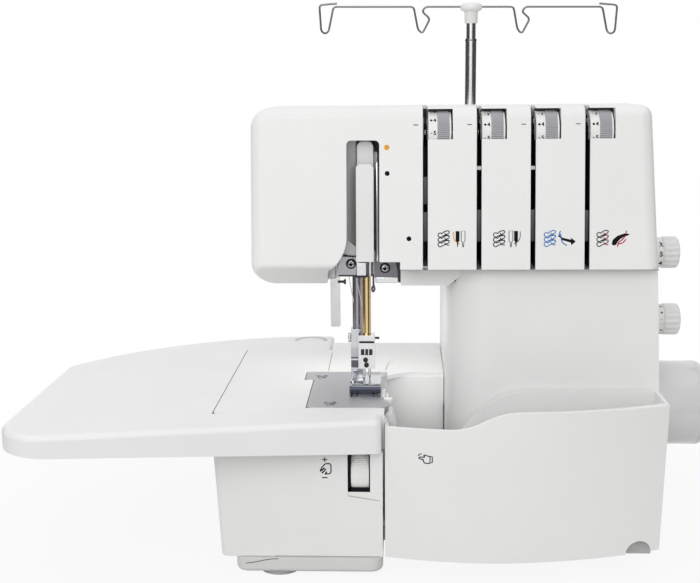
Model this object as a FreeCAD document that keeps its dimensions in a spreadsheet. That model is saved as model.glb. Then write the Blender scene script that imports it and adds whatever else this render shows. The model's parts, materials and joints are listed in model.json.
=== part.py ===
import FreeCAD, Part
import math
import os
import re
import Sketcher

# Overlock sewing machine with an extension table, millimetres.
# Origin on the ground under the middle of the bounding box, +Z up, the sewing side towards -Y,
# the handwheel towards +X.

V = FreeCAD.Vector
doc = FreeCAD.newDocument("overlock_machine")
dims = doc.addObject("Spreadsheet::Sheet", "dims")

DIMENSIONS = (
    # common sizes
    ("wall", 2.5, "thickness of the plastic covers"),
    ("seam", 0.4, "gap between two covers"),
    ("run", 0.05, "radial clearance of a running fit"),
    ("free", 0.6, "gap beside a moving piece"),
    # ground and base
    ("foot_radius", 14, "rubber foot"),
    ("base_low", 2.8, "underside of the base tray"),
    ("base_top", 12.6, "top of the base tray"),
    ("tray_left", -94, "left side of the base tray"),
    ("tray_right", 183, "right side of the base tray"),
    ("tray_front", -122, "front of the base tray under the bed"),
    ("tray_step", -69, "front of the base tray behind the looper cover"),
    ("tray_rear", 88, "back of the base tray"),
    # bed
    ("bed_left", -107.8, "left side of the bed"),
    ("bed_foot_left", -103.8, "left side of the bed at its foot"),
    ("bed_right", 3.3, "right side of the bed beside the looper space"),
    ("bed_face", -119, "front of the lower bed cover"),
    ("bed_front", -112, "front of the bed top"),
    ("bed_rear", 93, "back of the bed top"),
    ("bed_top", 107.5, "working surface above the ground"),
    ("bed_skirt", 84, "lower edge of the bed top cover"),
    ("bed_notch_x", -41, "bed cut away on its left behind"),
    ("bed_notch_y", 66, "bed cut away from here to the back"),
    # column and head
    ("column_left", 46, "left side of the column"),
    ("column_right", 192.3, "right side of the machine at its foot"),
    ("column_front", -71, "front of the column"),
    ("column_round", 28, "rounding of the column's left front corner"),
    ("head_left", -85.6, "left end of the head"),
    ("head_right", 178, "right side of the machine at the top of the head"),
    ("head_top", 301.6, "top of the head"),
    ("head_low", 184, "underside of the head"),
    ("panel_low", 196, "lower edge of the tension panels"),
    ("lip_left", 14, "left end of the lip under the head"),
    ("lip_low", 182.5, "underside of the lip under the head"),
    ("rear_fall", 7, "how much the top of the head falls towards the back"),
    ("face_y", -79, "front of the head at the lower edge of the panels"),
    ("face_top_y", -65, "front of the head at its top"),
    ("body_rear", 90, "back of the machine"),
    ("split_y", -10, "plane between front and rear covers"),
    ("head_round", 9, "rounding of the head's front edges"),
    # tension panels
    ("slot_first", 30.2, "middle of the first thread slot"),
    ("slot_pitch", 35.1, "from one thread slot to the next"),
    ("slot_width", 3.3, "thread slot"),
    ("slot_floor", -36, "back of the thread slots"),
    ("dial_radius", 14.5, "tension dial"),
    ("dial_width", 15, "tension dial"),
    ("dial_y", -53, "axis of the tension dials"),
    ("dial_z", 284, "axis of the tension dials"),
    ("window_width", 16.3, "dial window"),
    ("window_low", 280.5, "lower edge of the dial window"),
    ("window_high", 300, "upper edge of the dial window"),
    ("post_radius", 2.5, "tension post"),
    # needle side
    ("takeup_left", -21.5, "left side of the take-up slot"),
    ("takeup_right", 0, "right side of the take-up slot"),
    ("takeup_top", 280, "top of the take-up slot"),
    ("needle_x", -9.5, "needle bar axis"),
    ("bar_y", -45, "needle bar axis"),
    ("bar_radius", 3, "needle bar"),
    ("presser_x", -16.5, "presser bar axis"),
    ("presser_y", -28, "presser bar axis"),
    ("presser_radius", 3.5, "presser bar"),
    ("bar_low", 132, "lower end of the presser bar"),
    ("nose_low", 190, "underside of the bar guide block"),
    ("nose_top", 206, "top of the bar guide block"),
    ("clamp_low", 122, "underside of the needle clamp"),
    ("clamp_top", 140, "top of the needle clamp"),
    ("needle_tip", 95, "needle point at rest"),
    # needle plate
    ("plate_left", -48, "needle plate"),
    ("plate_right", 1, "needle plate"),
    ("plate_front", -98, "needle plate"),
    ("plate_rear", -4, "needle plate"),
    ("plate_thick", 2.6, "needle plate"),
    # drive
    ("shaft_y", 14, "main shaft axis"),
    ("shaft_z", 80.4, "main shaft axis"),
    ("shaft_radius", 6, "main shaft and rocker shaft"),
    ("bush_radius", 9, "shaft bushes"),
    ("rocker_y", 10, "rocker shaft axis"),
    ("rocker_z", 250, "rocker shaft axis"),
    ("wheel_radius", 31, "handwheel"),
    ("wheel_right", 238, "outer face of the handwheel"),
    ("motor_y", -40, "motor axis"),
    ("motor_z", 50, "motor axis"),
    ("motor_radius", 26, "motor"),
    ("belt_x", 146, "near side of the belt"),
    ("belt_width", 6, "belt"),
    ("belt_thick", 1.6, "belt"),
    ("motor_pulley", 8, "radius of the motor pulley"),
    ("shaft_pulley", 24, "radius of the shaft pulley"),
    # side knobs
    ("knob_y", -6, "axis of the side knobs"),
    ("knob_high_z", 196.5, "stitch length knob"),
    ("knob_low_z", 148, "differential feed knob"),
    ("knob_radius", 11.4, "grip of a side knob"),
    ("knob_reach", 27.9, "how far the side knobs stand out"),
    # cutting width dial in the lower bed cover
    ("width_left", -18.6, "left side of the dial"),
    ("width_right", -6.4, "right side of the dial"),
    ("width_radius", 15, "dial"),
    ("width_y", -104.2, "axis of the dial"),
    ("width_z", 68, "axis of the dial"),
    # looper cover
    ("lid_left", 3.8, "left end of the looper cover"),
    ("lid_right", 186, "right end of the looper cover"),
    ("lid_low", 13, "lower edge of the looper cover"),
    ("lid_top", 113, "rim of the looper cover"),
    ("lid_dip", 101, "rim of the looper cover on the left"),
    ("lid_rear", -72.2, "back of the looper cover"),
    ("lid_front", -119, "front of the looper cover at its left end"),
    ("lid_bulge", -128.6, "front of the looper cover where it is deepest"),
    ("lid_bulge_x", 72, "where the looper cover is deepest"),
    ("lid_end_y", -108, "front of the looper cover at its right end"),
    ("lid_floor", 26, "floor of the pocket"),
    ("hinge_y", -112, "axis of the looper cover hinge"),
    ("hinge_z", 18.5, "axis of the looper cover hinge"),
    ("rod_radius", 2, "hinge rod"),
    # extension table
    ("table_left", -238, "left edge"),
    ("table_front", -163, "front edge at the left corner"),
    ("table_end_x", 1.5, "right end of the front strip"),
    ("table_end_y", -126, "front edge at the right end"),
    ("table_round", 32, "rounding of the front left corner"),
    ("table_rear", 119, "back edge at its right end"),
    ("table_turn", 12, "where the back edge meets the left edge"),
    ("table_low", 85.2, "lower edge of the skirt at its right end"),
    ("table_low_left", 94.4, "lower edge of the skirt at its left end"),
    ("table_wall", 3, "top and skirt"),
    # thread stand
    ("pole_x", 70.8, "axis of the pole"),
    ("pole_y", 124, "axis of the pole"),
    ("pole_radius", 4.6, "outer tube"),
    ("mast_radius", 3.9, "inner tube"),
    ("pole_top", 351, "top of the outer tube"),
    ("mast_top", 365, "top of the inner tube"),
    ("stand_top", 379, "top of the thread guide"),
    ("guide_z", 376, "thread guide wire"),
    ("wire_radius", 1.1, "thread guide wire"),
    ("spool_y", 137, "row of spool pins"),
    ("spool_pitch", 75, "from one spool pin to the next"),
    ("spool_low", 6, "underside of the spool base"),
    ("spool_top", 24, "top of the spool base"),
    ("pin_radius", 3, "spool pin"),
    ("pin_top", 95, "top of the spool pins"),
    ("holder_top", 33, "height of the cone holders"),
)

for row, (alias, value, note) in enumerate(DIMENSIONS, 1):
    dims.set("A%d" % row, note)
    dims.set("B%d" % row, str(value))
    dims.setAlias("B%d" % row, alias)
doc.recompute()
ALIASES = {entry[0] for entry in DIMENSIONS}
NODES = []

PLANE = {"x": "YZ_Plane", "y": "XZ_Plane", "z": "XY_Plane"}
AXIS = {"x": V(1, 0, 0), "y": V(0, 1, 0), "z": V(0, 0, 1)}
# the two coordinates that a sketch across each direction draws in
ACROSS = {"x": (1, 2), "y": (0, 2), "z": (0, 1)}
TURN = {
    "x": FreeCAD.Rotation(V(0, 1, 0), 90),
    "y": FreeCAD.Rotation(V(1, 0, 0), -90),
    "z": FreeCAD.Rotation(),
}


def formula(text):
    """The expression with every alias led back to the sheet."""
    def lead(match):
        word = match.group()
        return "dims." + word if word in ALIASES else word
    return re.sub(r"[a-z_]+", lead, str(text))


def size(text):
    """The value of an expression in millimetres."""
    return float(dims.evalExpression(formula(text).replace("dims.", "")))


def bind(thing, prop, text):
    thing.setExpression(prop, formula(text))


def bind_base(thing, where):
    for letter, text in zip("xyz", where):
        bind(thing, "Placement.Base." + letter, text)


def node(thing, label):
    """Keep an object as a sub-part of the machine under its own label."""
    thing.Label = label
    NODES.append(thing)
    return thing


# PartDesign bodies

def new_body(label):
    return doc.addObject("PartDesign::Body", label)


def sketch_at(body, direction, level):
    sketch = body.newObject("Sketcher::SketchObject", body.Name + "_sketch")
    plane = next(part for part in body.Origin.OriginFeatures if part.Role == PLANE[direction])
    sketch.AttachmentSupport = [(plane, "")]
    sketch.MapMode = "FlatFace"
    sign = "-" if direction == "y" else ""
    bind(sketch, "AttachmentOffset.Base.z", "%s(%s)" % (sign, level))
    return sketch


def hold(sketch, kind, item, end, text):
    """Fix one coordinate of a point of the sketch to an expression."""
    index = sketch.addConstraint(Sketcher.Constraint(kind, -1, 1, item, end, size(text)))
    sketch.setExpression("Constraints[%d]" % index, formula(text))


def draw_outline(sketch, corners):
    """A closed outline of straight lines through the corners.

    A corner with four entries ends an arc that leads to it through the point in its last two.
    """
    count = len(corners)
    points = [V(size(corner[0]), size(corner[1]), 0) for corner in corners]
    ends = []
    for index, corner in enumerate(corners):
        start, end = points[index - 1], points[index]
        order = (1, 2)
        if len(corner) == 4:
            middle = V(size(corner[2]), size(corner[3]), 0)
            # a sketch draws its arcs anticlockwise, so the others go in from their far end
            if (middle - start).cross(end - middle).z < 0:
                start, end = end, start
                order = (2, 1)
            sketch.addGeometry(Part.Arc(start, middle, end))
        else:
            sketch.addGeometry(Part.LineSegment(start, end))
        ends.append(order)
    for index in range(count):
        after = (index + 1) % count
        sketch.addConstraint(Sketcher.Constraint(
            "Coincident", index, ends[index][1], after, ends[after][0]))
    for index, corner in enumerate(corners):
        hold(sketch, "DistanceX", index, ends[index][1], corner[0])
        hold(sketch, "DistanceY", index, ends[index][1], corner[1])
        if len(corner) == 4:
            sketch.addConstraint(Sketcher.Constraint("Radius", index, sketch.Geometry[index].Radius))


def draw_circle(sketch, centre, radius):
    item = sketch.addGeometry(Part.Circle(V(size(centre[0]), size(centre[1]), 0), V(0, 0, 1), size(radius)))
    index = sketch.addConstraint(Sketcher.Constraint("Radius", item, size(radius)))
    sketch.setExpression("Constraints[%d]" % index, formula(radius))
    hold(sketch, "DistanceX", item, 3, centre[0])
    hold(sketch, "DistanceY", item, 3, centre[1])


def finish_feature(body, kind, sketch, length):
    feature = body.newObject("PartDesign::" + kind, body.Name + "_" + kind.lower())
    feature.Profile = sketch
    bind(feature, "Length", length)
    doc.recompute()
    return feature


def pad(body, direction, corners, low, high):
    """Material across the outline between two levels of one direction."""
    sketch = sketch_at(body, direction, high if direction == "y" else low)
    draw_outline(sketch, corners)
    finish_feature(body, "Pad", sketch, "(%s) - (%s)" % (high, low))


def round_pad(body, direction, centre, radius, low, high):
    sketch = sketch_at(body, direction, high if direction == "y" else low)
    draw_circle(sketch, centre, radius)
    finish_feature(body, "Pad", sketch, "(%s) - (%s)" % (high, low))


def cut_away(body, sketch, low, high):
    before = body.Shape.Volume
    feature = finish_feature(body, "Pocket", sketch, "(%s) - (%s)" % (high, low))
    if body.Shape.Volume >= before - 1e-3:
        raise ValueError("%s removes nothing" % feature.Name)


def pocket(body, direction, corners, low, high):
    sketch = sketch_at(body, direction, low if direction == "y" else high)
    draw_outline(sketch, corners)
    cut_away(body, sketch, low, high)


def bore(body, direction, centre, radius, low, high):
    sketch = sketch_at(body, direction, low if direction == "y" else high)
    draw_circle(sketch, centre, radius)
    cut_away(body, sketch, low, high)


def round_edges(body, radius, wanted):
    base = body.Tip
    names = ["Edge%d" % (index + 1) for index, edge in enumerate(base.Shape.Edges) if wanted(edge)]
    if not names:
        raise ValueError("no edge to round on " + body.Label)
    fillet = body.newObject("PartDesign::Fillet", body.Name + "_fillet")
    fillet.Base = (base, names)
    bind(fillet, "Radius", radius)
    doc.recompute()


def corner_edges(direction, *places):
    """Straight edges along a direction that stand at the given places."""
    first, second = ACROSS[direction]
    spots = [(size(u), size(v)) for u, v in places]

    def wanted(edge):
        if len(edge.Vertexes) != 2:
            return False
        start, end = edge.Vertexes[0].Point, edge.Vertexes[1].Point
        if abs((end - start).normalize().dot(AXIS[direction])) < 0.999:
            return False
        return any(math.hypot(start[first] - u, start[second] - v) < 0.05 for u, v in spots)
    return wanted


def edges_at(direction, level, keep=None):
    """Edges that lie in one level plane of a direction."""
    place = "xyz".index(direction)
    value = size(level)

    def wanted(edge):
        box = edge.BoundBox
        low = (box.XMin, box.YMin, box.ZMin)[place]
        high = (box.XMax, box.YMax, box.ZMax)[place]
        level_edge = abs(low - value) < 0.05 and abs(high - value) < 0.05
        return level_edge and (keep is None or keep(edge.CenterOfMass))
    return wanted


def rectangle(u_low, u_high, v_low, v_high):
    return [(u_low, v_low), (u_high, v_low), (u_high, v_high), (u_low, v_high)]


def turned(label, profile, direction, where):
    """A turned piece: (radius, length) corners about a direction, from a point on its axis."""
    body = new_body(label)
    sketch = sketch_at(body, "y", 0)
    draw_outline(sketch, profile)
    feature = body.newObject("PartDesign::Revolution", label + "_turn")
    feature.Profile = sketch
    feature.ReferenceAxis = (sketch, ["V_Axis"])
    feature.Angle = 360
    body.Placement = FreeCAD.Placement(V(), TURN[direction])
    bind_base(body, where)
    doc.recompute()
    return body


# Part primitives and booleans

def block(name, x_low, x_high, y_low, y_high, z_low, z_high):
    box = doc.addObject("Part::Box", name)
    bind(box, "Length", "(%s) - (%s)" % (x_high, x_low))
    bind(box, "Width", "(%s) - (%s)" % (y_high, y_low))
    bind(box, "Height", "(%s) - (%s)" % (z_high, z_low))
    bind_base(box, (x_low, y_low, z_low))
    return box


def rod(name, direction, where, length, radius):
    cylinder = doc.addObject("Part::Cylinder", name)
    cylinder.Placement = FreeCAD.Placement(V(), TURN[direction])
    bind(cylinder, "Radius", radius)
    bind(cylinder, "Height", length)
    bind_base(cylinder, where)
    return cylinder


def joined(name, *pieces):
    fuse = doc.addObject("Part::MultiFuse", name)
    fuse.Shapes = list(pieces)
    fuse.Refine = True
    return fuse


def less(name, base, *tools):
    cut = doc.addObject("Part::Cut", name)
    cut.Base = base
    cut.Tool = tools[0] if len(tools) == 1 else joined(name + "_tools", *tools)
    return cut


def group(name, pieces):
    compound = doc.addObject("Part::Compound", name)
    compound.Links = list(pieces)
    return compound


# Base: tray and rubber feet

def make_base():
    tray = new_body("base_tray")
    outline = [("tray_left", "tray_front"), ("bed_right - 1", "tray_front"), ("bed_right - 1", "tray_step"),
               ("tray_right", "tray_step"), ("tray_right", "tray_rear"), ("tray_left", "tray_rear")]
    pad(tray, "z", outline, "base_low", "base_top")
    round_edges(tray, "8", corner_edges("z", outline[0], outline[1], outline[3], outline[4], outline[5]))
    round_edges(tray, "3", edges_at("z", "base_low"))
    inner = [("tray_left + 3", "tray_front + 3"), ("bed_right - 4", "tray_front + 3"),
             ("bed_right - 4", "tray_step + 3"), ("tray_right - 3", "tray_step + 3"),
             ("tray_right - 3", "tray_rear - 3"), ("tray_left + 3", "tray_rear - 3")]
    pocket(tray, "z", inner, "base_low + 3", "base_top")
    node(tray, "base_tray")
    places = (("tray_left + 28", "tray_front + 16"), ("tray_left + 28", "tray_rear - 18"),
              ("tray_right - 22", "tray_step + 17"), ("tray_right - 22", "tray_rear - 18"))
    feet = [rod("foot", "z", (x, y, 0), "base_low", "foot_radius") for x, y in places]
    node(group("feet", feet), "rubber_feet")


# Die-cast frame that carries the shafts, the bars and the loopers

FRAME_WALLS = (60, 160)
FRAME_WALL = 8
PEDESTAL_X = -78
LOOPER_LUGS = (-66, -14)
LOOPER_PIVOTS = {"lower_looper": (-30, 40), "upper_looper": (26, 36)}
KNIFE_PIVOT = (-20, 60)
HINGE_ARMS = (36, 130)
LIFTER_X, LIFTER_Y, LIFTER_Z = -43, 29, 202
FEED_BARS = (-19, -4.5)
FEED_ROWS = ((-70, -54), (-38, -18))
LID_LUGS = (24, 144)


def make_frame():
    walls = [block("frame_wall", x, x + FRAME_WALL, -8, 80, "base_top + 6", 290) for x in FRAME_WALLS]
    solids = walls + [
        block("frame_floor", "tray_left + 2", "tray_right - 2", "tray_step + 2", "tray_rear - 2",
              "base_top", "base_top + 6"),
        block("frame_back", FRAME_WALLS[0], FRAME_WALLS[1] + FRAME_WALL, 72, 80, "base_top + 6", 290),
        block("frame_arm", -70, FRAME_WALLS[0], 72, 80, "nose_low", 290),
        block("frame_end", -70, -62, -8, 80, "nose_low", 290),
        block("frame_nose", -30, 6, "bar_y - 13", -18, "nose_low", "nose_top"),
        block("frame_rib", -2, 6, -18, 72, "nose_low", "nose_top - 6"),
        block("frame_lifter", LIFTER_X - FRAME_WALL, LIFTER_X, 20, 72, "nose_low + 2", LIFTER_Z + 8),
        block("frame_pedestal", PEDESTAL_X, PEDESTAL_X + FRAME_WALL, 0, 28, "base_top + 6", 97),
        block("frame_knife", -8, -3, -26, -14, "base_top + 6", 68),
        block("frame_feed", -15, -4, -8, 2, "base_top + 6", 98.9),
    ]
    for x, z in LOOPER_PIVOTS.values():
        for y in LOOPER_LUGS:
            solids.append(block("frame_lug", x - 8, x + 8, y, y + 6, "base_top + 6", z + 8))
    for x in HINGE_ARMS:
        solids.append(block("hinge_arm", x, x + 6, "hinge_y", "tray_step + 3",
                            "base_top + 1.5", "base_top + 6"))
        solids.append(rod("hinge_boss", "x", (x, "hinge_y", "hinge_z"), 6, "rod_radius + 2.4"))
    bores = [rod("shaft_bore", "x", (x - 1, "shaft_y", "shaft_z"), FRAME_WALL + 2, "bush_radius")
             for x in FRAME_WALLS + (PEDESTAL_X,)]
    bores.append(rod("hinge_bore", "x", (0, "hinge_y", "hinge_z"), 180, "rod_radius + run"))
    bores.append(rod("rocker_bore", "x", (-80, "rocker_y", "rocker_z"), 270, "shaft_radius + run"))
    bores.append(rod("needle_bore", "z", ("needle_x", "bar_y", "nose_low - 1"), 20, "bar_radius + 2.5"))
    bores.append(rod("presser_bore", "z", ("presser_x", "presser_y", "nose_low - 1"), 20,
                     "presser_radius + 2"))
    for x, z in LOOPER_PIVOTS.values():
        bores.append(rod("looper_bore", "y", (x, -70, z), 66, "4 + run"))
    bores.append(rod("knife_bore", "x", (-9, KNIFE_PIVOT[0], KNIFE_PIVOT[1]), 7, "3 + run"))
    bores.append(rod("lifter_bore", "x", (LIFTER_X - 9, LIFTER_Y, LIFTER_Z), 10, 3))
    node(less("frame_casting", joined("frame_solid", *solids), *bores), "main_frame")

    bushes = []
    for x in FRAME_WALLS + (PEDESTAL_X,):
        ring = rod("bush_outer", "x", (x, "shaft_y", "shaft_z"), FRAME_WALL, "bush_radius")
        hole = rod("bush_hole", "x", (x - 1, "shaft_y", "shaft_z"), FRAME_WALL + 2, "shaft_radius + run")
        bushes.append(less("bush", ring, hole))
    for x, y, radius, skin in (("needle_x", "bar_y", "bar_radius", "2.5"),
                               ("presser_x", "presser_y", "presser_radius", "2")):
        profile = [("%s + run" % radius, 0), ("%s + %s" % (radius, skin), 0),
                   ("%s + %s" % (radius, skin), "nose_top - nose_low"),
                   ("%s + run" % radius, "nose_top - nose_low")]
        bushes.append(turned("bar_bush", profile, "z", (x, y, "nose_low")))
    node(group("bush_set", bushes), "bushes")


# Bed covers, needle plate and the wall behind the looper space

def make_bed():
    lower = new_body("bed_front_cover")
    outline = [("bed_foot_left", "base_top"), ("bed_right - 1", "base_top"),
               ("bed_right - 1", "bed_skirt - seam"), ("bed_left", "bed_skirt - seam")]
    pad(lower, "y", outline, "bed_face", "split_y - seam")
    round_edges(lower, "5", edges_at("y", "bed_face", lambda c: c.x < size("bed_foot_left") + 3))
    inner = [("bed_foot_left + wall", "base_top - 1"), ("bed_right + 2", "base_top - 1"),
             ("bed_right + 2", "bed_skirt + 1"), ("bed_left + wall", "bed_skirt + 1")]
    pocket(lower, "y", inner, "bed_face + wall", "split_y")
    # return wall beside the looper cover and the well of the width dial
    pad(lower, "y", rectangle("bed_right - 1 - wall", "bed_right - 1", "base_top", "bed_skirt - seam"),
        "bed_face + wall", "bed_face + 15")
    well_left, well_low = "width_left - 1.7", "width_z - 11"
    pocket(lower, "y", rectangle(well_left, "width_right + 0.5", well_low, "bed_skirt + 1"),
           "bed_face - 1", "bed_face + wall + 1")
    finger_room = [(well_left, well_low + " - 2.6"), ("bed_right", well_low + " - 6.8"),
                   ("bed_right", "bed_skirt + 1"), (well_left, "bed_skirt + 1")]
    pocket(lower, "y", finger_room, "bed_face - 1", "bed_face + 0.6")
    node(lower, "bed_front_cover")

    top = new_body("bed_top_cover")
    outline = [("bed_left", "bed_front"), ("bed_right", "bed_front"), ("bed_right", "plate_rear - 13"),
               ("bed_right + 20", "plate_rear + 0.3", "bed_right + 9", "plate_rear - 3.5"),
               ("column_left - seam", "plate_rear + 0.3"), ("column_left - seam", "bed_rear"),
               ("bed_notch_x", "bed_rear"), ("bed_notch_x", "bed_notch_y"), ("bed_left", "bed_notch_y")]
    pad(top, "z", outline, "bed_skirt", "bed_top")
    round_edges(top, "4", corner_edges("z", outline[0], outline[6]))
    round_edges(top, "1.5", edges_at("z", "bed_top", lambda c: c.y > size("bed_rear") - 5))
    inner = [("bed_left + wall", "bed_front + wall"), ("bed_right + 1", "bed_front + wall"),
             ("bed_right + 1", "plate_rear - 14"), ("column_left + 1", "plate_rear - 14"),
             ("column_left + 1", "bed_rear - wall"), ("bed_notch_x + wall", "bed_rear - wall"),
             ("bed_notch_x + wall", "bed_notch_y - wall"), ("bed_left + wall", "bed_notch_y - wall")]
    pocket(top, "z", inner, "bed_skirt - 1", "bed_top - 3")
    hole = [("plate_left - free", "plate_front - 0.3"), ("bed_right + 1", "plate_front - 0.3"),
            ("bed_right + 1", "plate_rear + 0.3"), ("plate_left - 6.5 - free", "plate_rear + 0.3"),
            ("plate_left - 6.5 - free", "plate_rear - 22.3"), ("plate_left - free", "plate_rear - 22.3")]
    pocket(top, "z", hole, "bed_skirt", "bed_top + 1")
    node(top, "bed_top_cover")

    plate = new_body("needle_plate")
    outline = [("plate_left", "plate_front"), ("plate_right + 2", "plate_front"),
               ("plate_right + 5", "plate_front + 5"), ("plate_right + 4.5", "plate_front + 12"),
               ("plate_right", "plate_front + 22"), ("plate_right - 3", "plate_rear"),
               ("plate_left - 6.5", "plate_rear"), ("plate_left - 6.5", "plate_rear - 22"),
               ("plate_left", "plate_rear - 22")]
    pad(plate, "z", outline, "bed_top - plate_thick", "bed_top + 0.2")
    round_edges(plate, "3", corner_edges("z", outline[0], outline[6], outline[7]))
    round_edges(plate, "2", corner_edges("z", outline[1], outline[2], outline[3]))
    pocket(plate, "z", rectangle("needle_x - 4", "needle_x + 4", "bar_y - 4.5", "bar_y + 1.5"),
           "bed_top - plate_thick - 1", "bed_top + 1")
    for low, high in FEED_ROWS:
        for x in FEED_BARS:
            pocket(plate, "z", rectangle(x - 0.7, x + 3.7, low - 2.2, high + 2.2),
                   "bed_top - plate_thick - 1", "bed_top + 1")
    node(plate, "needle_plate")

    wall = new_body("chute_wall")
    pad(wall, "y", rectangle("bed_right + 1.2", "column_left - seam", "base_top + 6", "bed_top - 3.1"),
        "plate_rear - 1", "plate_rear + 1.5")
    node(wall, "chute_wall")


# Covers of the head and the column

def face_at(z, inset="0"):
    """Front of the leaning head at a height."""
    lean = "(face_top_y - face_y) / (head_top - panel_low)"
    return "face_y + %s * ((%s) - panel_low) + (%s)" % (lean, z, inset)


def head_profile(low):
    """Side view of the head in front of the split, (y, z)."""
    return [(face_at(low), low), ("split_y", low), ("split_y", "head_top"), (face_at("head_top"), "head_top")]


def side_at(z, inset="0"):
    """Right side of the machine at a height: one straight taper from the foot to the top of the head."""
    lean = "(column_right - head_right) / (head_top - base_top)"
    return "column_right - %s * ((%s) - base_top) - (%s)" % (lean, z, inset)


def taper_side(body):
    """Trim a cover to the tapered right side."""
    low, high = "base_top - 2", "head_top + 2"
    beyond = "column_right + 5"
    pocket(body, "y", [(side_at(low), low), (beyond, low), (beyond, high), (side_at(high), high)],
           "face_y - 10", "body_rear + 1")


def slot_x(index, offset="0"):
    return "slot_first + %d * slot_pitch + (%s)" % (index, offset)


def front_edges(*skip):
    """Edges of the leaning front of the head, apart from those at the heights or sides to skip."""
    def wanted(edge):
        low, high = edge.ParameterRange
        points = [edge.valueAt(low + (high - low) * share) for share in (0, 0.5, 1)]
        on_front = all(abs(point.y - size(face_at(point.z))) < 0.02 for point in points)
        skipped = any(all(abs(getattr(point, axis) - size(level)) < 0.05 for point in points)
                      for axis, level in skip)
        return on_front and not skipped
    return wanted


def make_face_cover():
    cover = new_body("face_cover")
    right = slot_x(0, "-slot_width / 2")
    chin, bracket_top = "panel_low + 2", "panel_low + 5"
    profile = [(face_at(chin), chin), ("face_y + 17", "head_low"), ("split_y - seam", "head_low"),
               ("split_y - seam", "head_top"), (face_at("head_top"), "head_top")]
    pad(cover, "x", profile, "head_left", right)
    round_edges(cover, "14", corner_edges("y", ("head_left", "head_top")))
    round_edges(cover, "16", corner_edges("y", ("head_left", "head_low")))
    round_edges(cover, "head_round", front_edges(("x", right), ("z", chin)))
    round_edges(cover, "4", corner_edges("x", (face_at(chin), chin)))
    inner = [(face_at("panel_low + 5", "wall"), "panel_low + 5"), ("face_y + 19", "head_low + wall"),
             ("split_y", "head_low + wall"), ("split_y", "head_top - wall"),
             ("face_top_y + 14", "head_top - wall"), (face_at("head_top - 12", "wall"), "head_top - 12")]
    pocket(cover, "x", inner, "head_left + 7", "%s - wall" % right)
    slot = [("takeup_left", "takeup_top"), ("takeup_left", "panel_low + 22"),
            ("takeup_left - 12.5", "panel_low - 1.5", "takeup_left - 4.2", "panel_low + 7"),
            ("takeup_left - 14.2", "head_low - 1"), ("%s + 1" % right, "head_low - 1"),
            ("%s + 1" % right, bracket_top), ("takeup_right", bracket_top), ("takeup_right", "takeup_top")]
    pocket(cover, "y", slot, "face_y - 10", "split_y - 34")
    round_edges(cover, "3", corner_edges("y", slot[0], slot[7]))
    # right of the bracket the front runs straight down to the edge of the panels
    front = [(face_at("panel_low"), "panel_low"), ("face_y + 7", "panel_low"),
             ("face_y + 7", bracket_top + " + 2"), (face_at(bracket_top + " + 2"), bracket_top + " + 2")]
    pad(cover, "x", front, "lip_left - seam", right)
    pocket(cover, "y", rectangle("lip_left - seam", "%s + 1" % right, "head_low - 1", "panel_low"),
           "face_y - 10", "split_y")
    well = rectangle("takeup_left - 9", "lip_left", "split_y - 34.1", "split_y")
    pocket(cover, "z", well, "head_low - 1", "head_low + wall + 1")
    node(cover, "face_cover")


def make_tension_cover():
    cover = new_body("tension_cover")
    left = slot_x(0, "slot_width / 2")
    profile = head_profile("panel_low")
    profile[1:3] = [("split_y - seam", "panel_low"), ("split_y - seam", "head_top")]
    pad(cover, "x", profile, left, "column_right")
    taper_side(cover)
    round_edges(cover, "8", lambda edge: abs(edge.CenterOfMass.x - size("head_right")) < 0.3
                and edges_at("z", "head_top")(edge))
    round_edges(cover, "head_round", front_edges(("x", left), ("z", "panel_low")))
    for index in range(1, 4):
        pocket(cover, "y", rectangle(slot_x(index, "-slot_width / 2"), slot_x(index, "slot_width / 2"),
                                     "panel_low - 1", "head_top + 1"), "face_y - 10", "slot_floor")
    for index in range(4):
        right = slot_x(index + 1, "-slot_width / 2 - 2.2") if index < 3 else "head_right - wall - 1"
        inner = [(face_at("panel_low + wall", "wall"), "panel_low + wall"), ("split_y", "panel_low + wall"),
                 ("split_y", "head_top - 2.1"), ("face_top_y + 12", "head_top - 2.1"),
                 (face_at("head_top - 12", "wall"), "head_top - 12")]
        pocket(cover, "x", inner, slot_x(index, "slot_width / 2 + 2.2"), right)
        window = rectangle(slot_x(index, "slot_width / 2 - 0.1"),
                           slot_x(index, "slot_width / 2 + window_width"), "window_low", "window_high")
        pocket(cover, "y", window, "face_y - 10", "dial_y")
        bore(cover, "x", ("dial_y", "dial_z"), "dial_radius + 0.4", slot_x(index, "slot_width / 2 - 0.1"),
             slot_x(index, "slot_width / 2 + window_width"))
    node(cover, "tension_cover")

    posts = []
    discs = []
    for index in range(4):
        start = slot_x(index, "-slot_width / 2")
        posts.append(rod("tension_post", "x", (start, "dial_y", "dial_z"),
                         "slot_width + window_width", "post_radius"))
        for side in ("-0.9", "0.1"):
            where = (slot_x(index, side), "dial_y", "dial_z")
            plate = rod("disc_plate", "x", where, 0.8, 11)
            hole = rod("disc_hole", "x", where, 0.8, "post_radius")
            discs.append(less("disc", plate, hole))
    node(group("disc_sets", posts + discs), "tension_disc_sets")


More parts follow.
